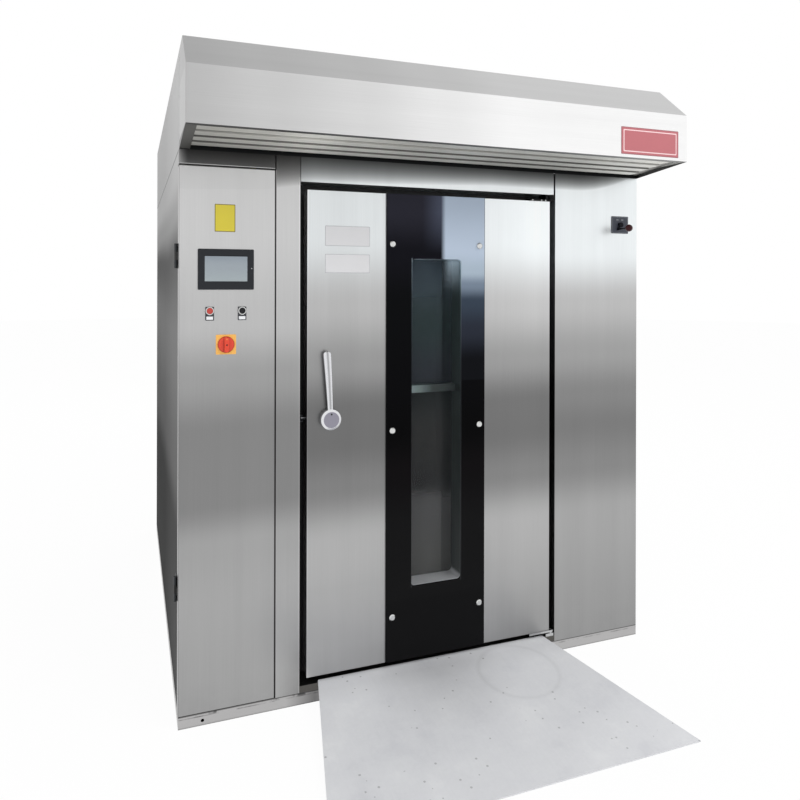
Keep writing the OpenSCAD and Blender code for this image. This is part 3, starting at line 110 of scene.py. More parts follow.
class Bench:
    """One material on the bench: its tree, its Principled shader and the nodes that feed it."""

    def __init__(self, name):
        SHELF[name] = bpy.data.materials.new(name)
        SHELF[name].use_nodes = True
        self.tree = SHELF[name].node_tree
        self.shader = self.tree.nodes["Principled BSDF"]
        self.place = self.node("ShaderNodeTexCoord", out="Object")
        parts = self.tree.nodes.new("ShaderNodeSeparateXYZ")
        self.tree.links.new(self.place.socket, parts.inputs[0])
        self.x, self.y, self.z = (Wire(self, parts.outputs[i]) for i in range(3))

    def node(self, kind, settings=None, sockets=None, out=0):
        made = self.tree.nodes.new(kind)
        for key, value in (settings or {}).items():
            setattr(made, key, value)
        for key, value in (sockets or {}).items():
            self.feed(made.inputs[key], value)
        return Wire(self, made.outputs[out])

    def feed(self, socket, value):
        if isinstance(value, Wire):
            self.tree.links.new(value.socket, socket)
        else:
            socket.default_value = value

    def noise(self, stretch=(1, 1, 1), scale=1.0, detail=2.0, roughness=0.5):
        spot = self.node("ShaderNodeMapping", None, {"Vector": self.place, "Scale": stretch})
        sockets = {"Vector": spot, "Scale": scale, "Detail": detail, "Roughness": roughness}
        return self.node("ShaderNodeTexNoise", None, sockets)

    def specks(self, scale, size):
        """1 in small round spots that are scattered at about one a cell, 0 elsewhere."""
        sockets = {"Vector": self.place, "Scale": scale, "Randomness": 1.0}
        return self.node("ShaderNodeTexVoronoi", None, sockets, out="Distance") < size

    def ramp(self, value, stops, interpolation="EASE"):
        made = self.node("ShaderNodeValToRGB", None, {"Fac": value})
        ramp = made.socket.node.color_ramp
        ramp.interpolation = interpolation
        while len(ramp.elements) < len(stops):
            ramp.elements.new(0.5)
        for element, (spot, shade) in zip(ramp.elements, stops):
            element.position = spot
            element.color = (*as_colour(shade), 1)
        return made

    def mix(self, share, a, b):
        a, b = ((*as_colour(c), 1) if not isinstance(c, Wire) else c for c in (a, b))
        settings = {"data_type": "RGBA", "clamp_factor": True}
        return self.node("ShaderNodeMix", settings, {0: share, 6: a, 7: b}, out=2)

    def scaled(self, colour, share):
        if not isinstance(colour, Wire):
            colour = as_colour(colour)
        settings = {"operation": "SCALE"}
        return self.node("ShaderNodeVectorMath", settings, {0: colour, "Scale": share})

    def bump(self, height, depth, strength=1.0):
        sockets = {"Height": height, "Distance": depth, "Strength": strength}
        return self.node("ShaderNodeBump", None, sockets)

    def use(self, **sockets):
        """Feeds the shader: an underscore in a name stands for a space."""
        for key, value in sockets.items():
            self.feed(self.shader.inputs[key.replace("_", " ")], value)


def as_colour(shade):
    """A colour written as 0 to 255 on a screen, as the linear values of a shader."""
    return tuple(
        p / 255 / 12.92 if p <= 10 else ((p / 255 + 0.055) / 1.055) ** 2.4 for p in shade
    )


# %% [markdown]
# ## Brushed stainless steel
# Sheet for such ovens is brushed in one direction with a belt. From a few metres its fine
# scratches spread the room's reflection into soft bands. So most sheets are fully metallic and
# a third rough, a stretched noise draws the scratches, and a soft ramp along one axis paints
# those bands of the room's reflection and shade into the base colour.


# %% The brushed finish
BRIGHT = 200  # stops above this grey take the cool tint


def brushed(name, along, span, stops, grain="z", tint=(1.0, 1.0, 1.0), rough=0.34, soil=0.0,
            shading=None, metal=1.0, glance=None, cool=0.0):
    """Steel whose grey follows stops along one axis, painted bands of reflection and shade. shading
    gives its own factor of painted light or shade at a place, metal is how metallic it is, glance
    is the grey that it turns to at a low angle, and cool is how blue its bright bands are."""
    bench = Bench(name)
    axis = {"x": bench.x, "y": bench.y, "z": bench.z}[along]
    low, high = span
    spot = ((axis - low) * (1 / (high - low))).clamped()
    spot = spot + (bench.noise((0.8, 0.8, 0.8), 1.0, 1.0) - 0.5) * 0.035
    spread = []
    for place, shade in stops:
        shift = cool if shade > BRIGHT else 0.0
        hue = (tint[0] - shift, tint[1], tint[2] + shift / 3)
        spread.append(((place - low) / (high - low), tuple(shade * h for h in hue)))
    # Painted reflection and shade: the ramp lays the room's bands into the base colour.
    colour = bench.ramp(spot, spread)
    stretch = {"x": (3, 500, 500), "y": (500, 3, 500), "z": (500, 500, 3)}[grain]
    wide = {"x": (0.5, 16, 16), "y": (16, 0.5, 16), "z": (16, 16, 0.5)}[grain]
    scratch = bench.noise(stretch, 1.0, 3.0, 0.6)
    band = bench.noise(wide, 1.0, 2.0)
    smudge_and_shadow = bench.noise((3, 3, 3), 1.0, 4.0, 0.6)
    shade = 1 + (scratch - 0.5) * 0.14 + (band - 0.5) * 0.1 + (smudge_and_shadow - 0.5) * 0.06
    if soil:
        worn = bench.noise((9, 9, 9), 1.0, 6.0, 0.7)
        low_down = (1 - (bench.z - PAN_TOP) * 9).clamped()
        shade = shade * (1 - low_down * (worn * 1.6 - 0.4).clamped() * soil)
    if shading:
        shade = shade * shading(bench.x, bench.y, bench.z)
    bench.use(
        Base_Color=bench.scaled(colour, shade),
        Metallic=metal,
        Roughness=rough + (smudge_and_shadow - 0.5) * 0.12 + (scratch - 0.5) * 0.1,
        Normal=bench.bump(scratch, 0.0004, 0.35),
    )
    if glance is not None:
        bench.use(Specular_Tint=(glance, glance, glance, 1), Specular_IOR_Level=0.0)
    print("brushed finish:", name)


# %% [markdown]
# The painted bands run across all front panels at the same heights, because they stand for the
# reflection of one room. What differs from sheet to sheet is told by a small function of the
# place: painted shadow where the hood keeps the light off the top edge, except at the right end,
# painted highlights on some edges and painted light low down, painted shade on the left return
# of the control door, and its hinge knuckles darker than its face.


# %% What differs from sheet to sheet
def under_hood(x, y, z):
    """1 on the open panels, fading to a few hundredths in the shadow close under the hood."""
    left = (0.25 - x).larger(0) * 0.04 + (-0.5 - x).larger(0).smaller(0.2) * 0.12
    bend = (x - 0.66).larger(0)
    right = bend * bend * 0.75
    deep = ((z - 2.008 + left - right) * (9.5 + x * 3.5)).larger(0)
    deep = deep * ((x - LEFT) * 25 + 0.25).clamped()
    return 0.04 ** deep


def panel_shading(x, y, z):
    """Shaded by the hood, with the dark seam at the lintel's left end."""
    seam = (x > LINTEL_LEFT - 0.001) * (x < LINTEL_LEFT + 0.0027) * 0.75
    return under_hood(x, y, z) * (1 - seam)


def control_shading(x, y, z):
    """Dark knuckles, a left return in painted shade, painted highlights on the header's lower edge
    and the post's right edge, dark joints, and painted light and shadow low on the post.
    """
    knuckle = x < LEFT - 0.0005
    up, across = z - HEADER_FOOT, x - POST_LEFT
    # Painted highlights on the header's lower edge and on the post's right edge.
    header = (up > -0.0005) * (up < 0.0028) * (across < -0.001) * 0.75
    post_edge = (x > POST_RIGHT - 0.0032) * (z < 2.0) * 0.3
    up, across = z - CONTROL_TOP, x - CONTROL_RIGHT
    joint = (up > -0.003) * (up < 0.0005) * (across < 0) * 0.85
    joint = joint + (across > -0.0022) * (across < 0.0005) * (up < 0) * 0.7
    on_post = x > POST_LEFT + 0.001
    # Painted light low on the post, and a painted shadow at the post's lower right.
    post_foot = on_post * ((0.75 - z) * 2).clamped() * 0.13
    smudge_and_shadow = ((0.27 - z) * 4).clamped() * ((x + 0.64) * 12).clamped() * 0.42
    on_door = (up < 0.0005) * (1 - on_post) * 0.97
    shade = under_hood(x, y, z).larger(header).larger(on_door) * (1 - joint.clamped())
    shade = shade * (1 + post_edge + post_foot - smudge_and_shadow)
    # Painted shade on the left return.
    return shade * (1 - (x < LEFT + 0.0015) * 0.38) * (1 - knuckle * 0.85)


def door_shading(x, y, z):
    """Painted light: a highlight on the left edge, light from the ramp low down and at the lower
    left, a reflection lighter at the upper right, and a slight lightening from left to right.
    """
    edge = (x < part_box("door_skin")[0].x + 0.0025) * 0.35
    near_ramp = ((0.42 - z) * 4.5).clamped() * ((0.45 - x) * 3).clamped() * 0.35
    low_left = ((0.75 - z) * 3).clamped() * ((-0.1 - x) * 4).clamped() * 0.13
    high_right = ((z - 1.2) * 2).clamped() * (x * 2.2).clamped() * 0.2
    return 1 + x * 0.07 + edge + near_ramp + low_left + high_right


def cover_joint(x, y, z):
    """The dark line between a side or rear panel and the cover above it."""
    return 1 - (1 - (z - PANEL_TOP).size() * 260).clamped() * 0.85


def side_shading(x, y, z):
    """Painted shade: the left side is darker towards its back, most of all low down."""
    inward = ((y + 0.85) * 1.3).clamped()
    low_down = (1 - (z - 0.5) * 1.2).clamped()
    return (1 - inward * (0.12 + low_down * 0.2)) * cover_joint(x, y, z)


def hood_shading(x, y, z):
    """Painted shade: the upright sheet is lighter than the slope above it, its left end is a little
    darker, and its lower lip is dark.
    """
    slope = (z > HOOD_FOLD) * (0.3 + (x + 1).clamped() * 0.12)
    end = (x < LEFT + 0.0015) * (z < HOOD_FOLD) * 0.2
    lip = (z < HOOD_LIP) * 0.85
    return (1 - slope) * (1 - end) * (1 - lip)


# Painted reflection and shade: the stops of the front panels, the sides, the fascia, the roof and
# the louvres hold the bands of light and dark that the room lays on them.
FRONT_SPAN, SIDE_SPAN, ACROSS_SPAN = (0.0, 2.1), (0.0, 2.45), (-1.0, 1.0)
brushed(
    "panel_steel", "z", FRONT_SPAN,
    [(0.1, 155), (0.6, 168), (0.8, 139), (0.98, 127), (1.12, 138), (1.3, 164), (1.52, 192),
     (1.74, 245)],
    soil=0.15, shading=panel_shading, cool=0.018,
)
brushed(
    "door_steel", "z", FRONT_SPAN,
    [(0.1, 156), (0.6, 176), (0.8, 134), (0.97, 117), (1.1, 119), (1.28, 158), (1.5, 190),
     (1.78, 232)],
    shading=door_shading, cool=0.018,
)
brushed(
    "control_steel", "z", FRONT_SPAN,
    [(0.1, 163), (0.45, 169), (0.65, 165), (0.8, 137), (1.06, 137), (1.25, 162), (1.45, 192),
     (1.8, 206)],
    soil=0.15, shading=control_shading,
)
brushed(
    "side_steel", "z", SIDE_SPAN,
    [(0.1, 96), (0.66, 88), (0.9, 118), (1.4, 137), (1.7, 112), (1.86, 172), (2.0, 198),
     (2.45, 206)],
    soil=0.3, shading=side_shading, metal=0.2, glance=0.1, rough=0.5,
)
brushed(
    "right_steel", "z", SIDE_SPAN,
    [(0.0, 140), (0.5, 150), (0.75, 128), (1.0, 120), (1.3, 150), (1.7, 178), (2.05, 196),
     (2.45, 204)],
    soil=0.4, shading=cover_joint,
)
brushed(
    "fascia_steel", "x", ACROSS_SPAN,
    [(-1.0, 190), (-0.72, 205), (-0.4, 219), (-0.1, 236), (0.2, 250), (1.0, 252)],
    grain="x", shading=hood_shading,
)
brushed(
    "roof_steel", "x", ACROSS_SPAN, [(-1.0, 176), (0.0, 190), (1.0, 204)], grain="x",
)
brushed(
    "inner_steel", "z", FRONT_SPAN,
    [(0.0, 150), (0.6, 158), (1.2, 150), (2.0, 138)], tint=(0.94, 1.0, 0.97), rough=0.42,
)


def louvre_shading(x, y, z):
    """Painted shade: dark ends, a dark front strip and dark gaps between the slats."""
    first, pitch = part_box("hood_louvres")[0].y + 0.004, 0.06502
    along = ((y - first) / pitch).fraction()
    gap = ((along - 0.95).size() < 0.055) * (0.35 + (y > -1.3) * 0.4)
    strip = (y < first + 0.001) * 0.8
    slats = (1 - gap) * (1 - strip)
    left, right = x < LEFT + 0.0365, x > RIGHT - 0.064
    return slats.larger(left * 0.9).smaller(1 - left * 0.8 - right * 0.5)


brushed(
    "louvre_steel", "x", ACROSS_SPAN,
    [(-0.95, 195), (-0.76, 218), (-0.57, 255), (-0.38, 226), (0.0, 216), (0.25, 196),
     (0.5, 198), (0.76, 226)], grain="x",
    tint=(1.0, 0.995, 0.97), rough=0.5, shading=louvre_shading, metal=0.55,
)

# %% [markdown]
# ## Plainer metals
# Bearings, gears, the fan wheel, hinges and screws are not brushed sheet. Turned and cast metal
# shows a fine grain and a mottle of oil. One recipe covers them, and each gets its own tone,
# roughness, size and depth of grain, and mottle.


# %% Turned, cast and polished metal
def worked_metal(name, shade, rough, grain_scale=160.0, grain_depth=0.0002, mottle=0.12):
    bench = Bench(name)
    grain = bench.noise((1, 1, 1), grain_scale, 3.0, 0.6)
    patch = bench.noise((1, 1, 1), 9.0, 4.0, 0.65)
    bench.use(
        Base_Color=bench.scaled(shade, 1 + (patch - 0.5) * mottle * 2 + (grain - 0.5) * 0.08),
        Metallic=1.0,
        Roughness=rough + (patch - 0.5) * 0.16,
        Normal=bench.bump(grain, grain_depth, 0.5),
    )


METALS = {
    "polished_steel": ((214, 215, 214), 0.14, 300.0, 0.00005, 0.04),
    "satin_steel": ((186, 187, 188), 0.3, 260.0, 0.0001, 0.05),
    "hub_satin": ((150, 148, 160), 0.36, 260.0, 0.0001, 0.05),
    # shadowed_steel is painted near black for the deep shade behind the louvres on the hood's back
    # plate.
    "shadowed_steel": ((36, 37, 38), 0.6, 160.0, 0.0003),
    "turned_steel": ((158, 160, 162), 0.28, 220.0, 0.0001),
    "cast_iron": ((84, 86, 90), 0.55, 240.0, 0.0006),
    "gear_steel": ((126, 128, 130), 0.36, 200.0, 0.0002),
    "heater_steel": ((92, 84, 78), 0.5, 120.0, 0.0003, 0.3),
    "hinge_steel": ((64, 66, 68), 0.4, 220.0, 0.0002),
    "flue_steel": ((176, 180, 178), 0.32, 160.0, 0.0002, 0.1),
    # The sill's dark grey is painted shade, for it lies in the dark under the door; its mottle is
    # its own.
    "shaded_sill_steel": ((92, 90, 87), 0.46, 90.0, 0.0004, 0.4),
}
for name, numbers in METALS.items():
    worked_metal(name, *numbers)
print("worked metals:", len(METALS))


# %% [markdown]
# Five pieces need more than one tone. The base pan has a dark joint line along its top edge, a
# broken one below it, and dirt near the ramp. The damper's crank is dark metal with a maroon
# ball. The window's liner is painted bright where light falls in, at the top and on the ledge,
# and dull in between, with painted highlights on its front rim and its cross bar. The latch's
# tongue is dark with one bright line, and the door's lower hinge is bright where the upper one
# is painted dark for the shade it sits in.


# %% Metals in two tones
def pan_finish():
    bench = Bench("pan_steel")
    stain = bench.noise((2.5, 2.5, 9), 1.0, 5.0, 0.65)
    broken = (bench.noise((9, 9, 1), 1.0, 4.0, 0.7) * 6 - 2.7).clamped()
    down = PAN_TOP - bench.z
    top = (1 - (down - 0.0015).size() * 260).clamped() * 0.85
    lower = (1 - (down - 0.011).size() * 330).clamped() * broken * 0.8
    foot = (1 - bench.z * 160).clamped() * 0.4
    dirt = (1 - (bench.x + 0.5).size() * 9).clamped() * (bench.y < FRONT + 0.02)
    dirt = dirt * (0.35 + stain * 0.5)
    blobs = (bench.noise((26, 26, 26), 1.0, 3.0) * 9 - 5.1).clamped()
    blobs = blobs * (1 - (down - 0.0055).size() * 130).clamped() * (bench.x < -0.4) * 0.8
    shade = (1 + (stain - 0.5) * 0.22) * (1 - top) * (1 - lower) * (1 - foot)
    shade = shade * (1 - dirt) * (1 - blobs)
    bench.use(Base_Color=bench.scaled((182, 181, 181), shade), Metallic=1.0,
              Roughness=0.44 + (stain - 0.5) * 0.2, Normal=bench.bump(stain, 0.0008, 0.4))


def crank_finish():
    bench = Bench("crank_finish")
    grain = bench.noise((1, 1, 1), 200.0, 3.0, 0.6)
    ball = bench.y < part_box("damper_crank")[0].y + 0.033
    colour = bench.mix(ball, (34, 35, 39), (52, 18, 22))
    bench.use(Base_Color=bench.scaled(colour, 1 + (grain - 0.5) * 0.1), Metallic=1 - ball,
              Roughness=0.38 - ball * 0.1, Specular_IOR_Level=0.2,
              Normal=bench.bump(grain, 0.0002, 0.4))


def liner_finish():
    bench = Bench("liner_steel")
    low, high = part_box("window_liner")
    up = ((bench.z - low.z) * (1 / (high.z - low.z))).clamped()
    colour = bench.ramp(up, [
        (0.0, (215, 217, 220)), (0.006, (200, 202, 206)), (0.018, (86, 90, 90)),
        (0.4, (66, 72, 72)), (0.86, (62, 76, 76)), (0.975, (128, 148, 158)),
        (1.0, (190, 205, 215))])
    # Painted highlights: a bright front rim, brighter up high, and the cross bar bright at its left
    # end and dark further right.
    rim = (bench.y < FRONT + 0.003) * (0.35 + (up - 0.55).clamped() * 3.5)
    bar = (1 - ((bench.z - CROSS_BAR).size() - 0.0146) * 900).clamped()
    fade = (1 - (bench.x + 0.1) * 9).clamped()
    smear = bench.noise((14, 14, 2), 1.0, 3.0)
    shade = (1 + rim - bar * 0.5 + bar * fade * 4) * (1 + (smear - 0.5) * 0.25)
    bench.use(Base_Color=bench.scaled(colour, shade), Metallic=0.5,
              Roughness=0.4 + (smear - 0.5) * 0.2, Normal=bench.bump(smear, 0.0004, 0.3))


def hinge_finish():
    """Painted shade: the upper hinge, in the dark gap under the lintel, is near black. The lower
    one is bright.
    """
    bench = Bench("hinge_metal")
    grain = bench.noise((1, 1, 1), 90.0, 3.0, 0.6)
    colour = bench.mix(bench.z > 1.0, (186, 187, 188), (34, 34, 35))
    bench.use(Base_Color=bench.scaled(colour, 0.75 + grain * 0.5), Metallic=1.0,
              Roughness=0.3 + (grain - 0.5) * 0.2, Normal=bench.bump(grain, 0.0003, 0.4))


def latch_finish():
    """Dark, with one bright line near its top edge at its left end."""
    bench = Bench("latch_steel")
    low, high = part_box("latch_tongue")
    bright_line = ((bench.z - (high.z - 0.0035)).size() < 0.002) * (1 - (bench.x - low.x) * 30).clamped()
    grain = bench.noise((1, 1, 1), 260.0, 3.0)
    bench.use(Base_Color=bench.mix(bright_line, (34, 35, 37), (150, 150, 152)), Metallic=1.0,
              Roughness=0.35 + (grain - 0.5) * 0.1, Normal=bench.bump(grain, 0.0001, 0.4))


for finish in (pan_finish, crank_finish, liner_finish, latch_finish, hinge_finish):
    finish()

# %% [markdown]
# ## Paint, plastic, rubber and wool
# What is not metal here is satin paint on the motors, moulded plastic on the controls, rubber
# at the door and mineral wool in the walls. All are dielectrics: the colour sits in the base
# colour, and the surface is told apart by its roughness and by the size of its grain.


# %% Dielectric finishes
def coated(name, shade, rough, grain_scale=400.0, grain_depth=0.0001, mottle=0.05, coat=0.0,
           gloss=0.5):
    bench = Bench(name)
    grain = bench.noise((1, 1, 1), grain_scale, 2.0)
    patch = bench.noise((1, 1, 1), 6.0, 4.0, 0.6)
    bench.use(
        Base_Color=bench.scaled(shade, 1 + (patch - 0.5) * mottle * 2 + (grain - 0.5) * 0.06),
        Roughness=rough + (patch - 0.5) * 0.12,
        Coat_Weight=coat,
        Specular_IOR_Level=gloss,
        Normal=bench.bump(grain, grain_depth, 0.5),
    )


COATINGS = {
    # The door frame is dark steel, painted near black also for the shade in the gap around the
    # door.
    "frame_black_and_shaded": ((22, 23, 24), 0.55, 200.0, 0.0003),
    "motor_paint": ((58, 84, 112), 0.42, 300.0, 0.0003, 0.1, 0.2),
    "bezel_plastic": ((36, 38, 42), 0.48, 900.0, 0.0001, 0.05, 0.0, 0.2),
    "button_plastic": ((44, 46, 52), 0.42, 700.0, 0.0001),
    "red_plastic": ((178, 66, 58), 0.36, 500.0, 0.00005, 0.04, 0.0, 0.4),
    "black_plastic": ((20, 21, 24), 0.36, 500.0, 0.00005, 0.04, 0.0, 0.25),
    "yellow_plastic": ((236, 178, 84), 0.42, 400.0, 0.0001, 0.05, 0.1),
    "rubber_black": ((24, 24, 25), 0.78, 260.0, 0.0005, 0.2),
    "mineral_wool": ((186, 172, 116), 0.95, 60.0, 0.004, 0.3),
    "plate_paint": ((206, 205, 198), 0.5, 400.0, 0.0002, 0.06),
    "dial_grey": ((52, 56, 66), 0.46, 300.0, 0.0002),
    "holder_white": ((222, 224, 226), 0.45, 600.0, 0.0001),
    "label_yellow": ((206, 190, 44), 0.34, 500.0, 0.00005, 0.03, 0.4),
    "label_rim": ((120, 108, 34), 0.34, 500.0, 0.00005, 0.03, 0.4),
    "label_pale": ((206, 206, 208), 0.4, 500.0, 0.0001, 0.04, 0.2),
    "label_rim_pale": ((176, 176, 180), 0.4, 500.0, 0.0001, 0.04, 0.2),
    "plate_red": ((178, 99, 105), 0.3, 500.0, 0.00005, 0.04, 0.4),
    "plate_line": ((236, 206, 208), 0.35, 500.0, 0.00005, 0.02, 0.2),
    "plate_rim": ((150, 98, 104), 0.35, 500.0, 0.00005, 0.02, 0.2),
    "mark_grey": ((112, 116, 122), 0.46, 300.0, 0.00005),
}
for name, numbers in COATINGS.items():
    coated(name, *numbers)
print("dielectric finishes:", len(COATINGS))


# %% Switchgear: housings of pale, grey and dark plastic, told apart by their row
def switchgear_finish():
    bench = Bench("switchgear_plastic")
    row = bench.node("ShaderNodeTexWhiteNoise", {"noise_dimensions": "1D"},
                     {"W": (bench.z * 4.1 + 0.3).floor()})
    colour = bench.ramp(row, [(0.0, (46, 48, 52)), (0.45, (176, 178, 176)), (0.8, (92, 96, 100)),
                              (1.0, (196, 190, 172))], "CONSTANT")
    nose = (bench.y < middle("component_plate").y - 0.055) * 0.35
    grain = bench.noise((1, 1, 1), 500.0)
    bench.use(Base_Color=bench.scaled(colour, 1 - nose + (grain - 0.5) * 0.06), Roughness=0.5,
              Normal=bench.bump(grain, 0.0001, 0.5))


switchgear_finish()

# %% [markdown]
# ## Glass
# The dark strip on the door is enamelled on its back, so it is a black gloss surface and no
# light comes through; its reflections are painted into its colour. The window's outer pane is
# clear, which a low alpha gives without the noise of true refraction, and carries a painted
# reflection near its top. The inner panes are mostly opaque, and the light and shade of what
# lies behind them is painted on them.


# %% Dark and clear glass
def dark_glass_finish():
    """Black glass with painted reflections: a bright doorway at the upper right with a soft lower
    end, a pale patch at the upper left, a faint gradient elsewhere, and light along the window's
    cut edges.
    """
    bench = Bench("dark_glass")
    smear = bench.noise((2.0, 2.0, 0.7), 1.0, 3.0, 0.6)
    # Painted reflection of a bright doorway at the upper right.
    door_side = ((bench.x - 0.022) * 50).clamped()
    doorway = bench.ramp((bench.z - 1.2) * 1.25, [
        (0.1, (12, 13, 17)), (0.26, (38, 42, 52)), (0.41, (52, 62, 75)), (0.49, (112, 125, 141)),
        (0.56, (160, 174, 188)), (0.67, (176, 189, 206)), (0.94, (167, 180, 197))])
    # Painted reflection: the black glass grows lighter and darker with height.
    plain = bench.ramp(bench.z * 0.5, [
        (0.05, (19, 19, 20)), (0.3, (17, 17, 18)), (0.42, (10, 8, 10)), (0.5, (2, 2, 3)),
        (0.6, (4, 4, 6)), (0.76, (6, 7, 9)), (0.86, (15, 15, 21)), (0.95, (40, 40, 49))])
    # Painted reflection: a pale blue patch near the upper left.
    near = ((bench.x + 0.06) * 9).clamped() * ((bench.z - 1.72) * 6).clamped() * 0.6
    elsewhere = bench.mix(near * (smear * 3 - 0.8).clamped(), plain, (98, 106, 128))
    spot = bench.mix(door_side * (bench.z > 1.2), elsewhere, doorway)
    from_middle = (bench.x - middle("glass_strip").x).size()
    edge = (from_middle > 0.2155) * 0.8
    # Painted highlight along the two cut edges of the window.
    cut = (from_middle > 0.1083) * (from_middle < 0.1097) * (bench.z > 0.38) * (bench.z < 1.7)
    cut_glass = bench.ramp(bench.z * 0.5, [(0.2, (70, 72, 74)), (0.6, (52, 54, 58)),
                                           (0.76, (84, 92, 100)), (0.83, (160, 176, 186))])
    spot = bench.mix(cut, bench.scaled(spot, 1 - edge), cut_glass)
    bench.use(Base_Color=spot, Roughness=0.05 + smear * 0.04, Specular_IOR_Level=0.04)


def clear_glass_finish():
    """The outer pane holds a painted reflection of the same doorway's light near its top. The inner
    panes are mostly opaque, and carry the painted light and shade of what lies behind them, with
    a painted shadow down their right part."""
    bench = Bench("clear_glass")
    smear = bench.noise((3.0, 3.0, 1.2), 1.0, 3.0, 0.6)
    inner = bench.y > FRONT + 0.03
    # Painted light and shade of what lies behind the inner panes, by height.
    room = bench.ramp(bench.z * 0.5, [
        (0.2, (88, 88, 87)), (0.34, (86, 86, 87)), (0.385, (44, 44, 45)), (0.48, (50, 50, 50)),
        (0.57, (38, 42, 43)), (0.6, (46, 50, 57)), (0.72, (48, 61, 63)), (0.83, (70, 82, 92))])
    # Painted shadow: the right part is darker, with a dark line along it.
    right_shade = ((bench.x - 0.064) * 400).clamped()
    band = (1 - (bench.x - 0.076).size() * 90).clamped() * (bench.z > 1.15)
    painted_inside = bench.scaled(room, (1 - right_shade * 0.32) * (1 - band * 0.5) * (0.92 + smear * 0.16))
    # Painted reflection near the top of the outer pane.
    top_reflection = ((bench.z - 1.56) * 8).clamped() * ((bench.x - 0.03) * 30).clamped()
    colour = bench.mix(inner, bench.mix(top_reflection, (60, 66, 68), (150, 168, 180)), painted_inside)
    veil = 0.05 + top_reflection * 0.4 + inner * (0.8 - top_reflection * 0.4)
    bench.use(Base_Color=colour, Roughness=0.03, Alpha=veil, Specular_IOR_Level=0.08)


dark_glass_finish()
clear_glass_finish()


# %% [markdown]
# ## The ramp
# Trolleys run over the ramp, so the plate is matt, mottled and pricked with small dark specks.
# A faint ring on it is the distance from one point, kept where it is close to the radius.


# %% The ramp's worn plate
def ramp_finish():
    bench = Bench("ramp_plate")
    cloud = bench.noise((1, 1, 1), 5.0, 5.0, 0.65)
    fine = bench.noise((1, 1, 1), 70.0, 4.0, 0.7)
    across = bench.noise((120, 3, 3), 1.0, 3.0, 0.6)
    colour = bench.ramp(cloud, [(0.25, (206, 207, 211)), (0.5, (214, 215, 218)),
                                (0.75, (221, 222, 224))])
    dots = bench.specks(26.0, 0.11) * (bench.noise((1, 1, 1), 3.0, 2.0) > 0.5)

    def away(x, y):
        return ((bench.x - x) * (bench.x - x) + (bench.y - y) * (bench.y - y)) ** 0.5

    ring = (1 - (away(0.29, FRONT - 0.17) - 0.16).size() * 70).clamped() * 0.07
    worn = (1 - away(-0.02, FRONT - 0.1) * 3.2).clamped() * 0.2
    scuff = (1 - (bench.y - (FRONT - 0.05)).size() * 12).clamped() * fine * 0.16
    shade = 1 - dots * 0.34 - ring - worn - scuff + (fine - 0.5) * 0.08 + (across - 0.5) * 0.04
    bench.use(Base_Color=bench.scaled(colour, shade), Metallic=0.1, Specular_IOR_Level=0.3,
              Roughness=0.56 + (cloud - 0.5) * 0.2, Normal=bench.bump(fine, 0.0006, 0.4))


ramp_finish()


# %% [markdown]
# ## The touch panel's face
# The face is a plain grey that darkens a little to the top. It gets no picture and no words.


# %% Screen face
def screen_finish():
    bench = Bench("screen_face")
    centre = middle("touch_screen")
    up = ((bench.z - centre.z) * 9 + 0.5).clamped()
    colour = bench.ramp(up, [(0.0, (150, 160, 164)), (0.6, (143, 152, 159)),
                             (1.0, (128, 138, 148))])
    bench.use(Base_Color=colour, Roughness=0.16, Coat_Weight=0.3)


screen_finish()

# %% [markdown]
# ## Dressing the solids
# Every solid of the frame gets one of these finishes. The table says which, node by node, and
# the loop stops with a message if one is missing, so that no surface stays plain.

# %% Which finish goes where
FINISHES = {
    "panel_steel": "lintel right_front_panel",
    "control_steel": "control_door header_strip front_post",
    "door_steel": "door_skin",
    "side_steel": "left_side_panel left_top_cover",
    "right_steel": "right_side_panel right_top_cover rear_panel rear_top_cover",
    "fascia_steel": "hood_shell",
    "roof_steel": "roof_panel",
    "shadowed_steel": "hood_back_plate",
    "louvre_steel": "hood_louvres",
    "inner_steel": "door_inner_skin chamber_walls air_wall chamber_ceiling "
                   "turntable cradle_frame chamber_floor",
    "liner_steel": "window_liner",
    "flue_steel": "flue_pipe",
    "pan_steel": "base_pan",
    "shaded_sill_steel": "door_sill",
    "frame_black_and_shaded": "frame_left frame_right frame_head",
    "mineral_wool": "insulation door_core",
    "plate_paint": "component_plate",
    "switchgear_plastic": "switchgear",
    "ramp_plate": "ramp",
    "dark_glass": "glass_strip",
    "clear_glass": "clear_panes",
    "polished_steel": "glass_caps handle_lever",
    "rubber_black": "door_seals",
    "hinge_steel": "control_hinges latch_keeper",
    "hinge_metal": "hinge_ears hinge_brackets",
    "latch_steel": "latch_tongue",
    "bezel_plastic": "touch_screen",
    "button_plastic": "button_bodies",
    "black_plastic": "black_button",
    "yellow_plastic": "switch_plate",
    "red_plastic": "red_button switch_knob",
    "gear_steel": "drive_gear pinion",
    "cast_iron": "shaft_bearings",
    "motor_paint": "gearmotor fan_motor",
    "turned_steel": "fan_wheel",
    "heater_steel": "heater_bank",
    "crank_finish": "damper_crank",
    "dial_grey": "dial_plate",
}
for finish, names in FINISHES.items():
    for name in names.split():
        cad_nodes[name].data.materials.clear()
        cad_nodes[name].data.materials.append(SHELF[finish])
dressed = {name for names in FINISHES.values() for name in names.split()}
assert dressed == set(cad_nodes), set(cad_nodes) ^ dressed
print("dressed nodes:", len(dressed))

# %% [markdown]
# ## Tools for new pieces
# A piece is a plain mesh whose place is in its points, so its object stays at the origin.
# `settle` turns a bmesh into such an object, hands it to the body it moves with and gives it
# its finish. `turned` spins a profile about an axis that faces the front, and `slab` makes a
# plate with an eased front edge.


# %% placed, settle, turned and slab
def placed(name, data):
    made = bpy.data.objects.new(name, data)
    bpy.context.scene.collection.objects.link(made)
    return made


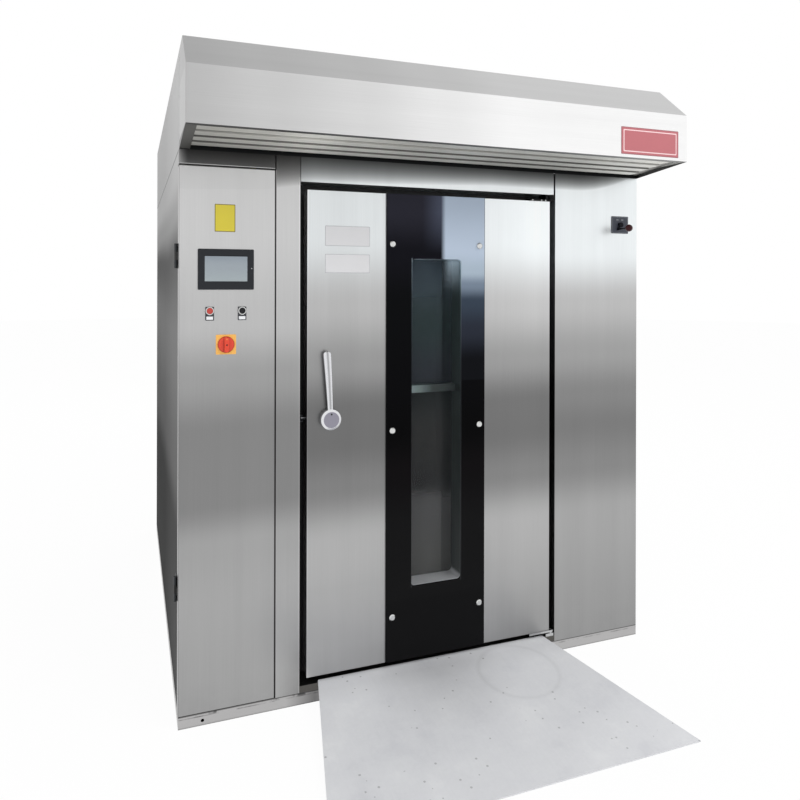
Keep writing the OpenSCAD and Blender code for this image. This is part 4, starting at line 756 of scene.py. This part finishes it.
def settle(name, mesh, finish, body):
    bmesh.ops.remove_doubles(mesh, verts=mesh.verts, dist=1e-6)
    bmesh.ops.recalc_face_normals(mesh, faces=mesh.faces)
    data = bpy.data.meshes.new(name)
    mesh.to_mesh(data)
    mesh.free()
    data.materials.append(SHELF[finish])
    piece = placed(name, data)
    soften(data)
    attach(piece, body)
    print("piece:", name, len(data.polygons), "faces, rides on", body)
    return piece


def soften(data, angle=math.radians(32)):
    """Shades a mesh smooth, with its sharp edges marked."""
    data.polygons.foreach_set("use_smooth", [True] * len(data.polygons))
    mesh = bmesh.new()
    mesh.from_mesh(data)
    for edge in mesh.edges:
        edge.smooth = len(edge.link_faces) == 2 and edge.calc_face_angle(0) < angle
    mesh.to_mesh(data)
    mesh.free()


# %% [markdown]
# A front-facing outline is drawn in X and Z and pushed out towards -Y, the viewer.


# %% Outlines and slabs
def spaced(a, b, count):
    return [a + (b - a) * i / (count - 1) for i in range(count)]


def rounded(width, height, radius, steps=6):
    """Points of a rounded rectangle about the origin, in X and Z, anticlockwise."""
    points = []
    for sx, sz, start in ((1, 1, 0), (-1, 1, 90), (-1, -1, 180), (1, -1, 270)):
        for i in range(steps + 1):
            a = math.radians(start + 90 * i / steps)
            points.append((sx * (width / 2 - radius) + radius * math.cos(a),
                           sz * (height / 2 - radius) + radius * math.sin(a)))
    return points


def slab(mesh, centre, outline, y_back, thick, edge=0.0):
    """A plate of an outline from y_back forward by thick, with its front edge eased by edge."""
    levels = [(y_back, 0.0), (y_back - thick + edge, 0.0)]
    if edge:
        levels.append((y_back - thick, edge))
    rings = []
    for y, inset in levels:
        ring = []
        for px, pz in outline:
            length = math.hypot(px, pz) or 1
            share = 1 - inset / length
            ring.append(mesh.verts.new((centre[0] + px * share, y, centre[1] + pz * share)))
        rings.append(ring)
    count = len(outline)
    for a, b in zip(rings, rings[1:]):
        for i in range(count):
            mesh.faces.new((a[i], a[(i + 1) % count], b[(i + 1) % count], b[i]))
    mesh.faces.new(rings[0])
    mesh.faces.new(rings[-1])


def turned(mesh, origin, profile, steps):
    """Spins (radius, height) pairs, closed at both ends where the radius is 0."""
    turn = Vector((0, -1, 0)).to_track_quat("Z", "Y").to_matrix()
    rings = []
    for radius, height in profile:
        if radius < 1e-6:
            rings.append([mesh.verts.new(Vector(origin) + turn @ Vector((0, 0, height)))])
            continue
        rings.append([
            mesh.verts.new(Vector(origin) + turn @ Vector((
                radius * math.cos(2 * math.pi * i / steps),
                radius * math.sin(2 * math.pi * i / steps), height)))
            for i in range(steps)])
    for a, b in zip(rings, rings[1:]):
        for i in range(steps):
            j = (i + 1) % steps
            corners = [a[i % len(a)], a[j % len(a)], b[j % len(b)], b[i % len(b)]]
            mesh.faces.new(list(dict.fromkeys(corners)))


# %% [markdown]
# ## The door handle
# The handle is a polished casting: a round hub with a bevelled rim, and a slim lever that
# widens to a rounded end. The solid in the frame has flat sides, so this piece stands for it.
# The lever is a row of rings along its middle line. Each ring is an oval with full corners.
# Along the middle the finish is rougher, and painted darker for the grey reflection there.

# %% The handle's places and finish
handle_low, handle_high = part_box("handle_lever")
HUB_R, LEVER_LEN, LEVER_LEAN = 0.040, 0.262, math.radians(3.4)
hub_centre = Vector((handle_high.x - HUB_R, FRONT, handle_low.z + HUB_R))


def handle_finish():
    bench = Bench("handle_steel")
    across = ((bench.x - hub_centre.x) * math.cos(LEVER_LEAN)
              + (bench.z - hub_centre.z) * math.sin(LEVER_LEAN))
    on_lever = bench.z > hub_centre.z + HUB_R
    # Painted reflection: the middle line is darker, between two bright sides.
    middle_line = (1 - across.size() * 150).clamped() * on_lever
    patch = bench.noise((1, 1, 1), 30.0, 3.0, 0.6)
    shade = (1 - middle_line * 0.55) * (1 + (patch - 0.5) * 0.08)
    bench.use(Base_Color=bench.scaled((226, 227, 230), shade), Metallic=1.0,
              Roughness=0.2 + middle_line * 0.2 + (patch - 0.5) * 0.08)


handle_finish()


# %% Handle
def lever_ring(half, thick, steps=20):
    """An oval with full corners, as pairs of across and out."""
    ring = []
    for i in range(steps):
        a = 2 * math.pi * i / steps
        ring.append((half * math.copysign(abs(math.cos(a)) ** 0.6, math.cos(a)),
                     thick * math.copysign(abs(math.sin(a)) ** 0.8, math.sin(a))))
    return ring


def make_handle():
    mesh = bmesh.new()
    turned(mesh, hub_centre, [
        (0, 0.0006), (0.034, 0.0006), (0.036, 0.002), (0.036, 0.010), (0.038, 0.0115),
        (0.040, 0.014), (0.040, 0.0265), (0.0392, 0.0285), (0.0376, 0.0295), (0.0350, 0.0315),
        (0.0322, 0.0334), (0.0312, 0.0338), (0, 0.0338)], 64)
    rings = []
    tip = 0.945  # where the rounded end starts, as a share of the length
    arc = [tip + (1 - tip) * math.sin(math.pi / 2 * k / 8) for k in range(9)]
    for u in spaced(0, tip, 20)[:-1] + arc:
        along = -0.004 + u * (LEVER_LEN + 0.004)
        half, thick = 0.0098 + 0.0062 * u, 0.0068 + 0.0004 * math.sin(u * math.pi)
        if u > tip:
            end = max(0.0, 1 - ((u - tip) / (1 - tip)) ** 2.4) ** 0.5
            half, thick = half * max(end, 0.02), thick * max(end, 0.1)
        out = 0.0205 + 0.006 * math.sin(u * math.pi * 0.9)
        rings.append([
            mesh.verts.new(hub_centre + Vector((
                across * math.cos(LEVER_LEAN) - along * math.sin(LEVER_LEAN), -out - deep,
                across * math.sin(LEVER_LEAN) + along * math.cos(LEVER_LEAN))))
            for across, deep in lever_ring(half, thick)])
    sides = len(rings[0])
    for a, b in zip(rings, rings[1:]):
        for i in range(sides):
            j = (i + 1) % sides
            mesh.faces.new((a[i], a[j], b[j], b[i]))
    mesh.faces.new(rings[0])
    mesh.faces.new(rings[-1])
    turned(mesh, hub_centre + Vector((0, 0.028, 0)),
           [(0, 0), (0.008, 0), (0.008, 0.03), (0, 0.03)], 32)
    return mesh


handle = settle("handle_casting", make_handle(), "handle_steel", "door_handle")
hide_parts("handle_lever")

# %% The hub's satin face and its set screw
face = bmesh.new()
turned(face, hub_centre,
       [(0, 0.0334), (0.0305, 0.0334), (0.0305, 0.0342), (0.0298, 0.0346), (0, 0.0348)], 56)
settle("hub_face", face, "hub_satin", "door_handle")
screw = bmesh.new()
turned(screw, hub_centre + Vector((0, 0, 0.0215)),
       [(0, 0.0340), (0.0036, 0.0340), (0.0036, 0.0354), (0.0026, 0.0356), (0.0018, 0.0348),
        (0, 0.0348)], 24)
settle("hub_screw", screw, "hinge_steel", "door_handle")

# %% [markdown]
# ## The main switch's knob
# A rotary main switch has a round red skirt and a broad grip across it, both with soft edges
# from the mould, a small yellow pointer and a screw in its middle. Painted shade darkens the
# crease beside the grip and the skirt's rim. The grip is straight at rest, as in the photo.

# %% Switch knob
knob_low, knob_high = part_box("switch_knob")
knob_centre = Vector(((knob_low.x + knob_high.x) / 2, 0, (knob_low.z + knob_high.z) / 2))
PLATE_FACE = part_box("switch_plate")[0].y
GRIP_FACE = PLATE_FACE - 0.0272
KNOB_R = (knob_high.x - knob_low.x) / 2


def knob_finish():
    bench = Bench("knob_plastic")
    across, up = bench.x - knob_centre.x, bench.z - knob_centre.z
    from_axis = (across * across + up * up) ** 0.5
    # Painted shade in the crease beside the grip and on the skirt's rim.
    crease = (1 - (across.size() - 0.0098).size() * 500).clamped()
    crease = crease * (bench.y > PLATE_FACE - 0.012)
    rim = ((from_axis - KNOB_R + 0.0045) * 260).clamped()
    grain = bench.noise((1, 1, 1), 400.0, 2.0)
    shade = (1 - crease * 0.5) * (1 - rim * 0.35) * (1 + (grain - 0.5) * 0.08)
    bench.use(Base_Color=bench.scaled((214, 62, 36), shade), Roughness=0.38, Coat_Weight=0.1,
              Normal=bench.bump(grain, 0.0001, 0.5))


def make_knob():
    mesh = bmesh.new()
    base = Vector((knob_centre.x, PLATE_FACE, knob_centre.z))
    turned(mesh, base, [
        (0, 0.0006), (KNOB_R, 0.0006), (KNOB_R, 0.004), (KNOB_R - 0.0012, 0.0065),
        (KNOB_R - 0.003, 0.0085), (KNOB_R - 0.006, 0.0098), (0, 0.0098)], 64)
    # The grip: a bar whose top narrows, with rounded ends
    bar = rounded(0.0165, 2 * KNOB_R - 0.004, 0.008, 6)
    slab(mesh, (base.x, base.z), bar, PLATE_FACE - 0.008, 0.0195, 0.0022)
    return mesh


knob_finish()
knob = settle("switch_grip", make_knob(), "knob_plastic", "main_switch")
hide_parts("switch_knob")
pointer = bmesh.new()
slab(pointer, (knob_centre.x, knob_centre.z + KNOB_R - 0.009),
     rounded(0.0018, 0.006, 0.0008, 3), GRIP_FACE, 0.0006)
settle("switch_pointer", pointer, "yellow_plastic", "main_switch")
screw = bmesh.new()
turned(screw, (knob_centre.x, GRIP_FACE, knob_centre.z),
       [(0, 0), (0.0032, 0), (0.0028, 0.0006), (0.0012, 0.0003), (0, 0.0003)], 20)
settle("switch_screw", screw, "black_plastic", "main_switch")

# %% [markdown]
# ## The touch panel and the push buttons
# The panel's window sits in a shallow recess of the bezel. A thin dark frame, the plain face
# and a tiny lamp are added. Each button gets a polished ring, and the holder under it a bare
# white card.

# %% Screen pieces
screen_mid = middle("touch_screen")
bezel_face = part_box("touch_screen")[0].y
for name, finish, size, back, thick, edge in (
    ("screen_frame", "black_plastic", (0.1575, 0.0965), 0.0009, 0.0006, 0.0002),
    ("screen_face", "screen_face", (0.152, 0.091), 0.0002, 0.0004, 0.0001),
):
    sheet = bmesh.new()
    slab(sheet, (screen_mid.x, screen_mid.z + 0.002), rounded(*size, 0.001, 3),
         bezel_face + back, thick, edge)
    settle(name, sheet, finish, "control_door")
lamp = bmesh.new()
turned(lamp, (screen_mid.x + 0.092, bezel_face, screen_mid.z + 0.004),
       [(0, -0.0005), (0.0016, -0.0005), (0.0014, 0.0008), (0, 0.0012)], 16)
settle("screen_lamp", lamp, "holder_white", "control_door")

# %% Button rings and cards
for side, node in (("left", "red_button"), ("right", "black_button")):
    cap = middle(node)
    ring = bmesh.new()
    turned(ring, (cap.x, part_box("button_bodies")[0].y, cap.z), [
        (0.0116, -0.0004), (0.0152, -0.0004), (0.0152, 0.0012), (0.0140, 0.0028),
        (0.0116, 0.0030), (0.0116, -0.0004)], 40)
    settle(f"button_ring_{side}", ring, "polished_steel", "control_door")
    card = bmesh.new()
    slab(card, (cap.x, cap.z - 0.0262), rounded(0.0235, 0.0115, 0.0008, 3), FRONT - 0.0019,
         0.0006, 0.0002)
    settle(f"button_card_{side}", card, "holder_white", "control_door")

# %% [markdown]
# ## Bare plates
# The oven carries several glued plates. Here they are bare: each has its colour, its rim and
# its thickness, and nothing is written or drawn on them.


# %% Plates on the panels
def bare_plate(name, centre, width, height, body, layers, y_back):
    """A stack of thin layers, each given by its finish and by how far its edge is set in."""
    for i, (finish, inset) in enumerate(layers):
        layer = bmesh.new()
        outline = rounded(width - 2 * inset, height - 2 * inset, 0.003)
        slab(layer, centre, outline, y_back + 0.0002 - 0.0005 * i, 0.0008, 0.0003)
        settle(f"{name}_{i}", layer, finish, body)


bare_plate("yellow_plate", (-0.839, 1.8355), 0.074, 0.101, "control_door",
           [("label_rim", 0), ("label_yellow", 0.0028)], FRONT)
for name, height, tall in (("upper_pale_plate", 1.781, 0.078), ("lower_pale_plate", 1.6745, 0.073)):
    bare_plate(name, (-0.3725, height), 0.181, tall, "oven_door",
               [("label_rim_pale", 0), ("label_pale", 0.0022)], FRONT)
bare_plate("name_plate", (0.813, 2.173), 0.286, 0.110, "cabinet",
           [("plate_rim", 0), ("plate_red", 0.0032), ("plate_line", 0.0105),
            ("plate_red", 0.0148)], HOOD_FRONT)

# %% Marks on the damper's plate
dial = middle("dial_plate")
dial_low, dial_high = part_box("dial_plate")
BORDER, LINE = 0.004, 0.0016
half_w = (dial_high.x - dial_low.x) / 2 - BORDER
half_h = (dial_high.z - dial_low.z) / 2 - BORDER
marks = bmesh.new()
for offset, size in (((0, half_h), (2 * half_w, LINE)), ((0, -half_h), (2 * half_w, LINE)),
                     ((half_w, 0), (LINE, 2 * half_h)), ((-half_w, 0), (LINE, 2 * half_h)),
                     ((-0.014, half_h - 0.012), (0.012, 0.006)),
                     ((0.012, half_h - 0.012), (0.012, 0.006))):
    slab(marks, (dial.x + offset[0], dial.z + offset[1]), rounded(*size, 0.0004, 2),
         dial_low.y + 0.0002, 0.0005)
settle("dial_marks", marks, "mark_grey", "cabinet")

# %% [markdown]
# ## Screws and rivets
# Small heads repeat along edges. A Geometry Nodes tree puts one domed head on every point of a
# mesh: its inputs are the points, the head's radius and height, the direction it faces and its
# finish. The result is turned into a plain mesh.


# %% The tree that sets heads on points
def head_tree():
    tree = bpy.data.node_groups.new("set_heads", "GeometryNodeTree")
    for name, kind, way in (("Points", "Geometry", "INPUT"), ("Head radius", "Float", "INPUT"),
                            ("Head height", "Float", "INPUT"), ("Facing", "Vector", "INPUT"),
                            ("Finish", "Material", "INPUT"), ("Heads", "Geometry", "OUTPUT")):
        tree.interface.new_socket(name, in_out=way, socket_type="NodeSocket" + kind)
    add = tree.nodes.new
    inputs, outputs = add("NodeGroupInput"), add("NodeGroupOutput")
    ball, size = add("GeometryNodeMeshUVSphere"), add("ShaderNodeCombineXYZ")
    for key, value in (("Segments", 16), ("Rings", 8), ("Radius", 1.0)):
        ball.inputs[key].default_value = value
    squash, place = add("GeometryNodeTransform"), add("GeometryNodeInstanceOnPoints")
    real, smooth = add("GeometryNodeRealizeInstances"), add("GeometryNodeSetShadeSmooth")
    paint = add("GeometryNodeSetMaterial")
    for giver, given, taker, taken in (
        (inputs, "Head radius", size, "X"), (inputs, "Head radius", size, "Y"),
        (inputs, "Head height", size, "Z"), (ball, "Mesh", squash, "Geometry"),
        (size, 0, squash, "Scale"), (inputs, "Points", place, "Points"),
        (squash, 0, place, "Instance"), (inputs, "Facing", place, "Rotation"),
        (place, 0, real, 0), (real, 0, smooth, 0), (smooth, 0, paint, "Geometry"),
        (inputs, "Finish", paint, "Material"), (paint, 0, outputs, 0),
    ):
        tree.links.new(giver.outputs[given], taker.inputs[taken])
    return tree


HEAD_TREE = head_tree()
ALONG_Y, ALONG_X = (math.pi / 2, 0, 0), (0, math.pi / 2, 0)


def heads(name, points, radius, height, facing, finish, body):
    data = bpy.data.meshes.new(name + "_points")
    data.from_pydata(points, [], [])
    maker = placed(name + "_maker", data)
    modifier = maker.modifiers.new("heads", "NODES")
    modifier.node_group = HEAD_TREE
    sockets = {s.name: s.identifier for s in HEAD_TREE.interface.items_tree}
    for key, value in (("Head radius", radius), ("Head height", height), ("Facing", facing),
                       ("Finish", SHELF[finish])):
        modifier[sockets[key]] = value
    graph = bpy.context.evaluated_depsgraph_get()
    mesh = bpy.data.meshes.new_from_object(maker.evaluated_get(graph))
    bpy.data.objects.remove(maker)
    mesh.name = name
    piece = placed(name, mesh)
    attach(piece, body)
    print("heads:", name, len(points), "on", body)


# %% [markdown]
# Rows of heads: the rear panel is riveted to the side panels, the covers to the roof's edge,
# the hood's ends to the cabinet, the component plate carries screws along both sides, and three
# small heads show on the edge of the door's upper hinge ear.

# %% Rows of heads
rear = [(x, BACK, z) for x in (LEFT + 0.014, RIGHT - 0.014) for z in spaced(0.12, 2.02, 12)]
rear += [(x, BACK, z) for x in spaced(LEFT + 0.12, RIGHT - 0.12, 12)
         for z in (0.06, PANEL_TOP - 0.014)]
heads("rear_rivets", rear, 0.0045, 0.0016, ALONG_Y, "satin_steel", "cabinet")
sides = [(x, y, PANEL_TOP + 0.016) for x in (LEFT, RIGHT)
         for y in spaced(FRONT + 0.12, BACK - 0.06, 9)]
heads("cover_rivets", sides, 0.0045, 0.0014, ALONG_X, "satin_steel", "cabinet")
ends = [(x, FRONT - 0.02, z) for x in (LEFT, RIGHT) for z in (2.12, 2.26, 2.40)]
heads("hood_rivets", ends, 0.004, 0.0014, ALONG_X, "satin_steel", "cabinet")
plate_low, plate_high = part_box("component_plate")
corners = [(x, plate_low.y, z) for x in (plate_low.x + 0.014, plate_high.x - 0.014)
           for z in spaced(plate_low.z + 0.03, plate_high.z - 0.03, 5)]
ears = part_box("hinge_ears")
EAR_EDGE = 0.008
on_ear = [(ears[0].x + d, ears[0].y, ears[1].z - EAR_EDGE / 2) for d in (0.012, 0.056, 0.076)]
heads("ear_screws", on_ear, 0.0034, 0.0016, ALONG_Y, "polished_steel", "oven_door")
heads("plate_screws", corners, 0.004, 0.0022, ALONG_Y, "satin_steel", "cabinet")

# %% [markdown]
# ## Floor, backdrop and light
# A plain pale floor carries the oven. To the camera, to metal and to glass the surroundings are
# white; on everything else the sky is a little weaker, and three soft lamps give it direction.


# %% The rays that look straight at the surroundings
def seen_rays(tree):
    """1 for rays from the camera, off metal or through glass, and 0 for scattered light."""
    path = tree.nodes.new("ShaderNodeLightPath")
    total = path.outputs["Is Camera Ray"]
    for ray in ("Is Glossy Ray", "Is Transmission Ray"):
        either = tree.nodes.new("ShaderNodeMath")
        either.operation = "MAXIMUM"
        tree.links.new(total, either.inputs[0])
        tree.links.new(path.outputs[ray], either.inputs[1])
        total = either.outputs[0]
    return total


# %% World
def make_world():
    world = bpy.data.worlds.new("studio")
    bpy.context.scene.world = world
    world.use_nodes = True
    tree = world.node_tree
    tree.nodes.clear()
    add, link = tree.nodes.new, tree.links.new
    seen, sky = add("ShaderNodeBackground"), add("ShaderNodeBackground")
    mix = add("ShaderNodeMixShader")
    seen.inputs["Color"].default_value = sky.inputs["Color"].default_value = (1, 1, 1, 1)
    sky.inputs["Strength"].default_value = 0.8
    link(seen_rays(tree), mix.inputs[0])
    link(sky.outputs[0], mix.inputs[1])
    link(seen.outputs[0], mix.inputs[2])
    link(mix.outputs[0], add("ShaderNodeOutputWorld").inputs[0])


make_world()


# %% Floor
def make_floor(own_white=0.96):
    """A pale disc. To seen rays it is own_white parts plain white, and the rest takes shadow."""
    mesh = bmesh.new()
    bmesh.ops.create_circle(mesh, cap_ends=True, segments=96, radius=30)
    data = bpy.data.meshes.new("floor")
    mesh.to_mesh(data)
    mesh.free()
    floor = placed("floor", data)
    material = bpy.data.materials.new("floor_paint")
    material.use_nodes = True
    tree = material.node_tree
    tree.nodes.clear()
    add, link = tree.nodes.new, tree.links.new
    mix, share = add("ShaderNodeMixShader"), add("ShaderNodeMath")
    paint, white = add("ShaderNodeBsdfDiffuse"), add("ShaderNodeEmission")
    paint.inputs["Color"].default_value = (0.9, 0.9, 0.9, 1)
    share.operation = "MULTIPLY"
    share.inputs[1].default_value = own_white
    link(seen_rays(tree), share.inputs[0])
    link(share.outputs[0], mix.inputs[0])
    link(paint.outputs[0], mix.inputs[1])
    link(white.outputs[0], mix.inputs[2])
    link(mix.outputs[0], add("ShaderNodeOutputMaterial").inputs[0])
    data.materials.append(material)


make_floor()


# %% Lamps
def soft_lamp(name, place, target, size, watts):
    light = bpy.data.lights.new(name, "AREA")
    light.shape, light.size, light.energy = "SQUARE", size, watts
    lamp = placed(name, light)
    lamp.location = place
    lamp.rotation_euler = (Vector(target) - Vector(place)).to_track_quat("-Z", "Y").to_euler()
    lamp.visible_camera = lamp.visible_glossy = lamp.visible_transmission = False


soft_lamp("key", (2.6, -5.0, 6.4), (0, -1.2, 0.6), 4.0, 210)
soft_lamp("fill", (-4.5, -5.0, 3.2), (0, -0.6, 1.0), 4.0, 60)
soft_lamp("back", (1.5, 6.0, 5.0), (0, 0.6, 1.0), 4.0, 80)

# %% [markdown]
# ## Camera
# The photograph was taken from the left of the door at eye height, level and with the lens
# shifted, because upright edges stay parallel. The numbers follow from its vanishing lines.

# %% Camera
camera_data = bpy.data.cameras.new("photo_view")
camera = placed("photo_view", camera_data)
SENSOR, PICTURE, FOCAL = 36.0, 800, 707.4  # mm, pixels, pixels
EYE_ACROSS, EYE_DOWN = 395.9, 283.2  # where the lens looks in the picture, pixels
camera_data.sensor_width = SENSOR
camera_data.lens = FOCAL / PICTURE * SENSOR
camera_data.shift_x = (PICTURE / 2 - EYE_ACROSS) / PICTURE
camera_data.shift_y = (EYE_DOWN - PICTURE / 2) / PICTURE
camera.location = (-1.162, -3.737, 1.599)
turn = Matrix.Rotation(math.radians(-20.57), 4, "Z") @ Matrix.Rotation(math.radians(90), 4, "X")
camera.rotation_euler = (turn @ Matrix.Rotation(math.radians(0.13), 4, "Z")).to_euler()
camera_data.clip_start, camera_data.clip_end = 0.05, 100
bpy.context.scene.camera = camera
bpy.context.scene.view_settings.view_transform = "Standard"
